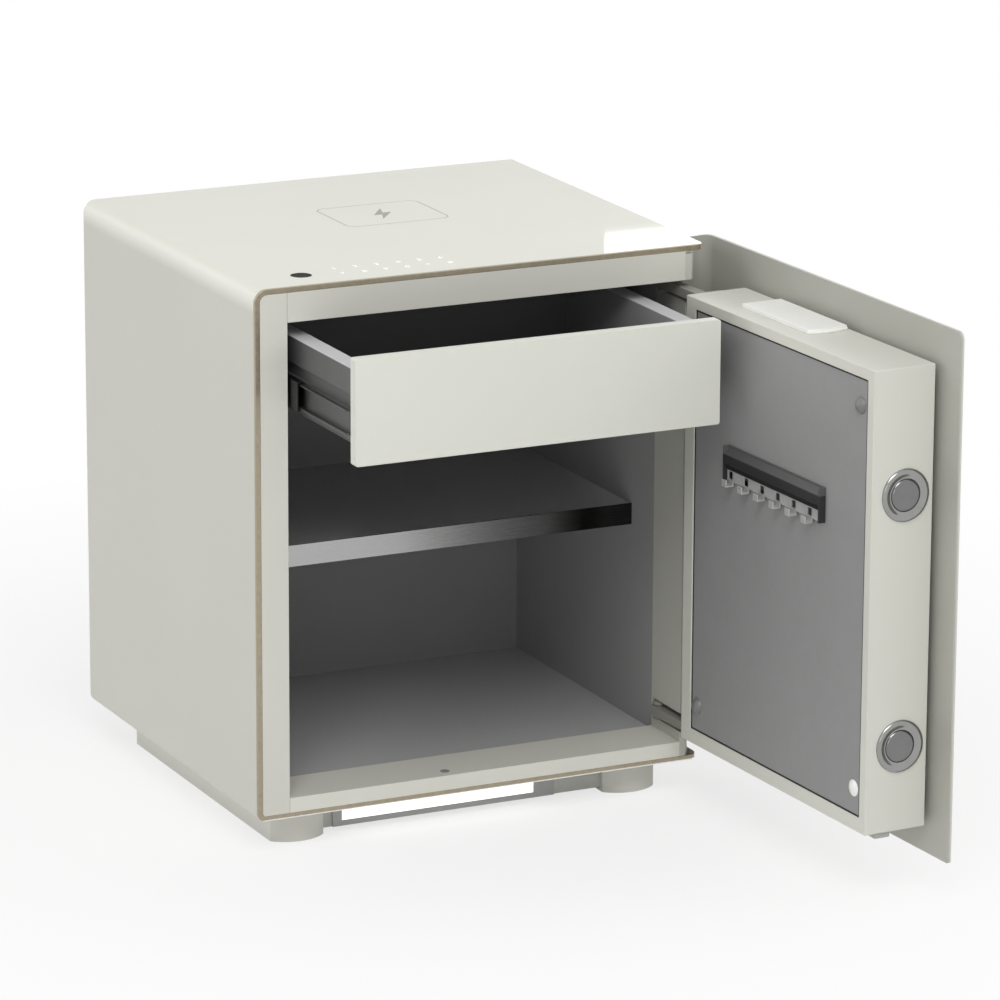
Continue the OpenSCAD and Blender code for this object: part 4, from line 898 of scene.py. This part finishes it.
class SAFE_OT_stage(bpy.types.Operator):
    """Pale floor, soft studio light and the camera"""

    bl_idname = "safe.stage"
    bl_label = "Stage"

    def execute(self, context):
        scene = context.scene
        stage = scene.safe_stage
        self.camera(scene, stage)
        self.room(scene, stage)
        self.floor(scene)
        lamps = {name: area_lamp(name + "_lamp", *spot, getattr(stage, name)) for name, spot in LAMPS.items()}
        lamps["right"].visible_glossy = False
        lamps["edge"].visible_diffuse = False
        scene.view_settings.view_transform = "Standard"
        return {"FINISHED"}

    def camera(self, scene, stage):
        """Forward, right and up from yaw and pitch, then turned by roll."""
        data = bpy.data.cameras.new("camera")
        data.sensor_width = SENSOR_W
        data.lens = stage.lens
        data.clip_end = CLIP_END
        data.dof.use_dof = False
        camera = bpy.data.objects.new("camera", data)
        scene.collection.objects.link(camera)
        yaw, pitch, roll = stage.yaw, stage.pitch, stage.roll
        ahead = Vector((math.sin(yaw) * math.cos(pitch), math.cos(yaw) * math.cos(pitch), -math.sin(pitch)))
        right = Vector((math.cos(yaw), -math.sin(yaw), 0.0))
        up = right.cross(ahead)
        side = right * math.cos(roll) + up * math.sin(roll)
        rise = up * math.cos(roll) - right * math.sin(roll)
        turn = Matrix((side, rise, -ahead)).transposed().to_4x4()
        turn.translation = Vector(stage.camera_place)
        camera.matrix_world = turn
        scene.camera = camera

    def room(self, scene, stage):
        """Even light, and plain white where the camera or a reflection sees it."""
        world = bpy.data.worlds.new("room")
        world.use_nodes = True
        tree = world.node_tree
        tree.nodes.clear()
        mix = tree.nodes.new("ShaderNodeMixShader")
        tree.links.new(seen_directly(tree), mix.inputs[0])
        for socket, strength in ((mix.inputs[1], stage.sky), (mix.inputs[2], 1.0)):
            light = tree.nodes.new("ShaderNodeBackground")
            light.inputs["Color"].default_value = WHITE
            light.inputs["Strength"].default_value = strength
            tree.links.new(light.outputs[0], socket)
        output = tree.nodes.new("ShaderNodeOutputWorld")
        tree.links.new(mix.outputs[0], output.inputs["Surface"])
        scene.world = world

    def floor(self, scene):
        """A wide pale floor that keeps the safe's shadow and turns white further out."""
        made = Finish("floor_finish", roughness=0.9, specular=0.1)
        made.colour(FLOOR_TONE, 0.005, made.noise(3.0, 1.0))
        glow = made.node("ShaderNodeEmission")
        glow.inputs["Color"].default_value = WHITE
        length = made.node("ShaderNodeVectorMath", operation="LENGTH")
        made.join(made.place, length.inputs[0])
        both = made.node("ShaderNodeMath", operation="MULTIPLY")
        made.join(made.spread(length.outputs["Value"], *FLOOR_WHITE, *FLOOR_FADE), both.inputs[0])
        made.join(seen_directly(made.tree), both.inputs[1])
        mix = made.node("ShaderNodeMixShader")
        made.join(both.outputs[0], mix.inputs[0])
        made.join(made.shader.outputs[0], mix.inputs[1])
        made.join(glow.outputs[0], mix.inputs[2])
        made.join(mix.outputs[0], made.output.inputs["Surface"])
        mesh = bpy.data.meshes.new("floor")
        corners = [(x * FLOOR_HALF, y * FLOOR_HALF, 0.0) for x, y in ((-1, -1), (1, -1), (1, 1), (-1, 1))]
        mesh.from_pydata(corners, [], [(0, 1, 2, 3)])
        mesh.materials.append(made.material)
        floor = bpy.data.objects.new("floor", mesh)
        scene.collection.objects.link(floor)


class SAFE_PT_sidebar(bpy.types.Panel):
    """Lists the steps that dress the safe, and their settings"""

    bl_idname = "SAFE_PT_sidebar"
    bl_label = "Safe"
    bl_space_type = "VIEW_3D"
    bl_region_type = "UI"
    bl_category = "Safe"

    def draw(self, context):
        for step in STEPS:
            self.layout.operator(step.bl_idname)
        scene = context.scene
        for settings in (scene.safe_sizes, scene.safe_colours, scene.safe_stage):
            for name in type(settings).__annotations__:
                self.layout.prop(settings, name)


STEPS = (
    SAFE_OT_stage, SAFE_OT_dress_body, SAFE_OT_dress_inside, SAFE_OT_dress_base, SAFE_OT_dress_door,
    SAFE_OT_dress_drawer, SAFE_OT_touch_digits, SAFE_OT_bolt_rings,
)
CLASSES = (SafeSizes, SafeColours, SafeStage) + STEPS + (SAFE_PT_sidebar,)


def register():
    for item in CLASSES:
        bpy.utils.register_class(item)
    bpy.types.Scene.safe_sizes = PointerProperty(type=SafeSizes)
    bpy.types.Scene.safe_colours = PointerProperty(type=SafeColours)
    bpy.types.Scene.safe_stage = PointerProperty(type=SafeStage)


def unregister():
    del bpy.types.Scene.safe_stage
    del bpy.types.Scene.safe_colours
    del bpy.types.Scene.safe_sizes
    for item in reversed(CLASSES):
        bpy.utils.unregister_class(item)


def main():
    register()
    bpy.ops.safe.stage()
    bpy.ops.safe.dress_body()
    bpy.ops.safe.dress_inside()
    bpy.ops.safe.dress_base()
    bpy.ops.safe.dress_door()
    bpy.ops.safe.dress_drawer()
    bpy.ops.safe.touch_digits()
    bpy.ops.safe.bolt_rings()


if __name__ == "__main__":
    main()
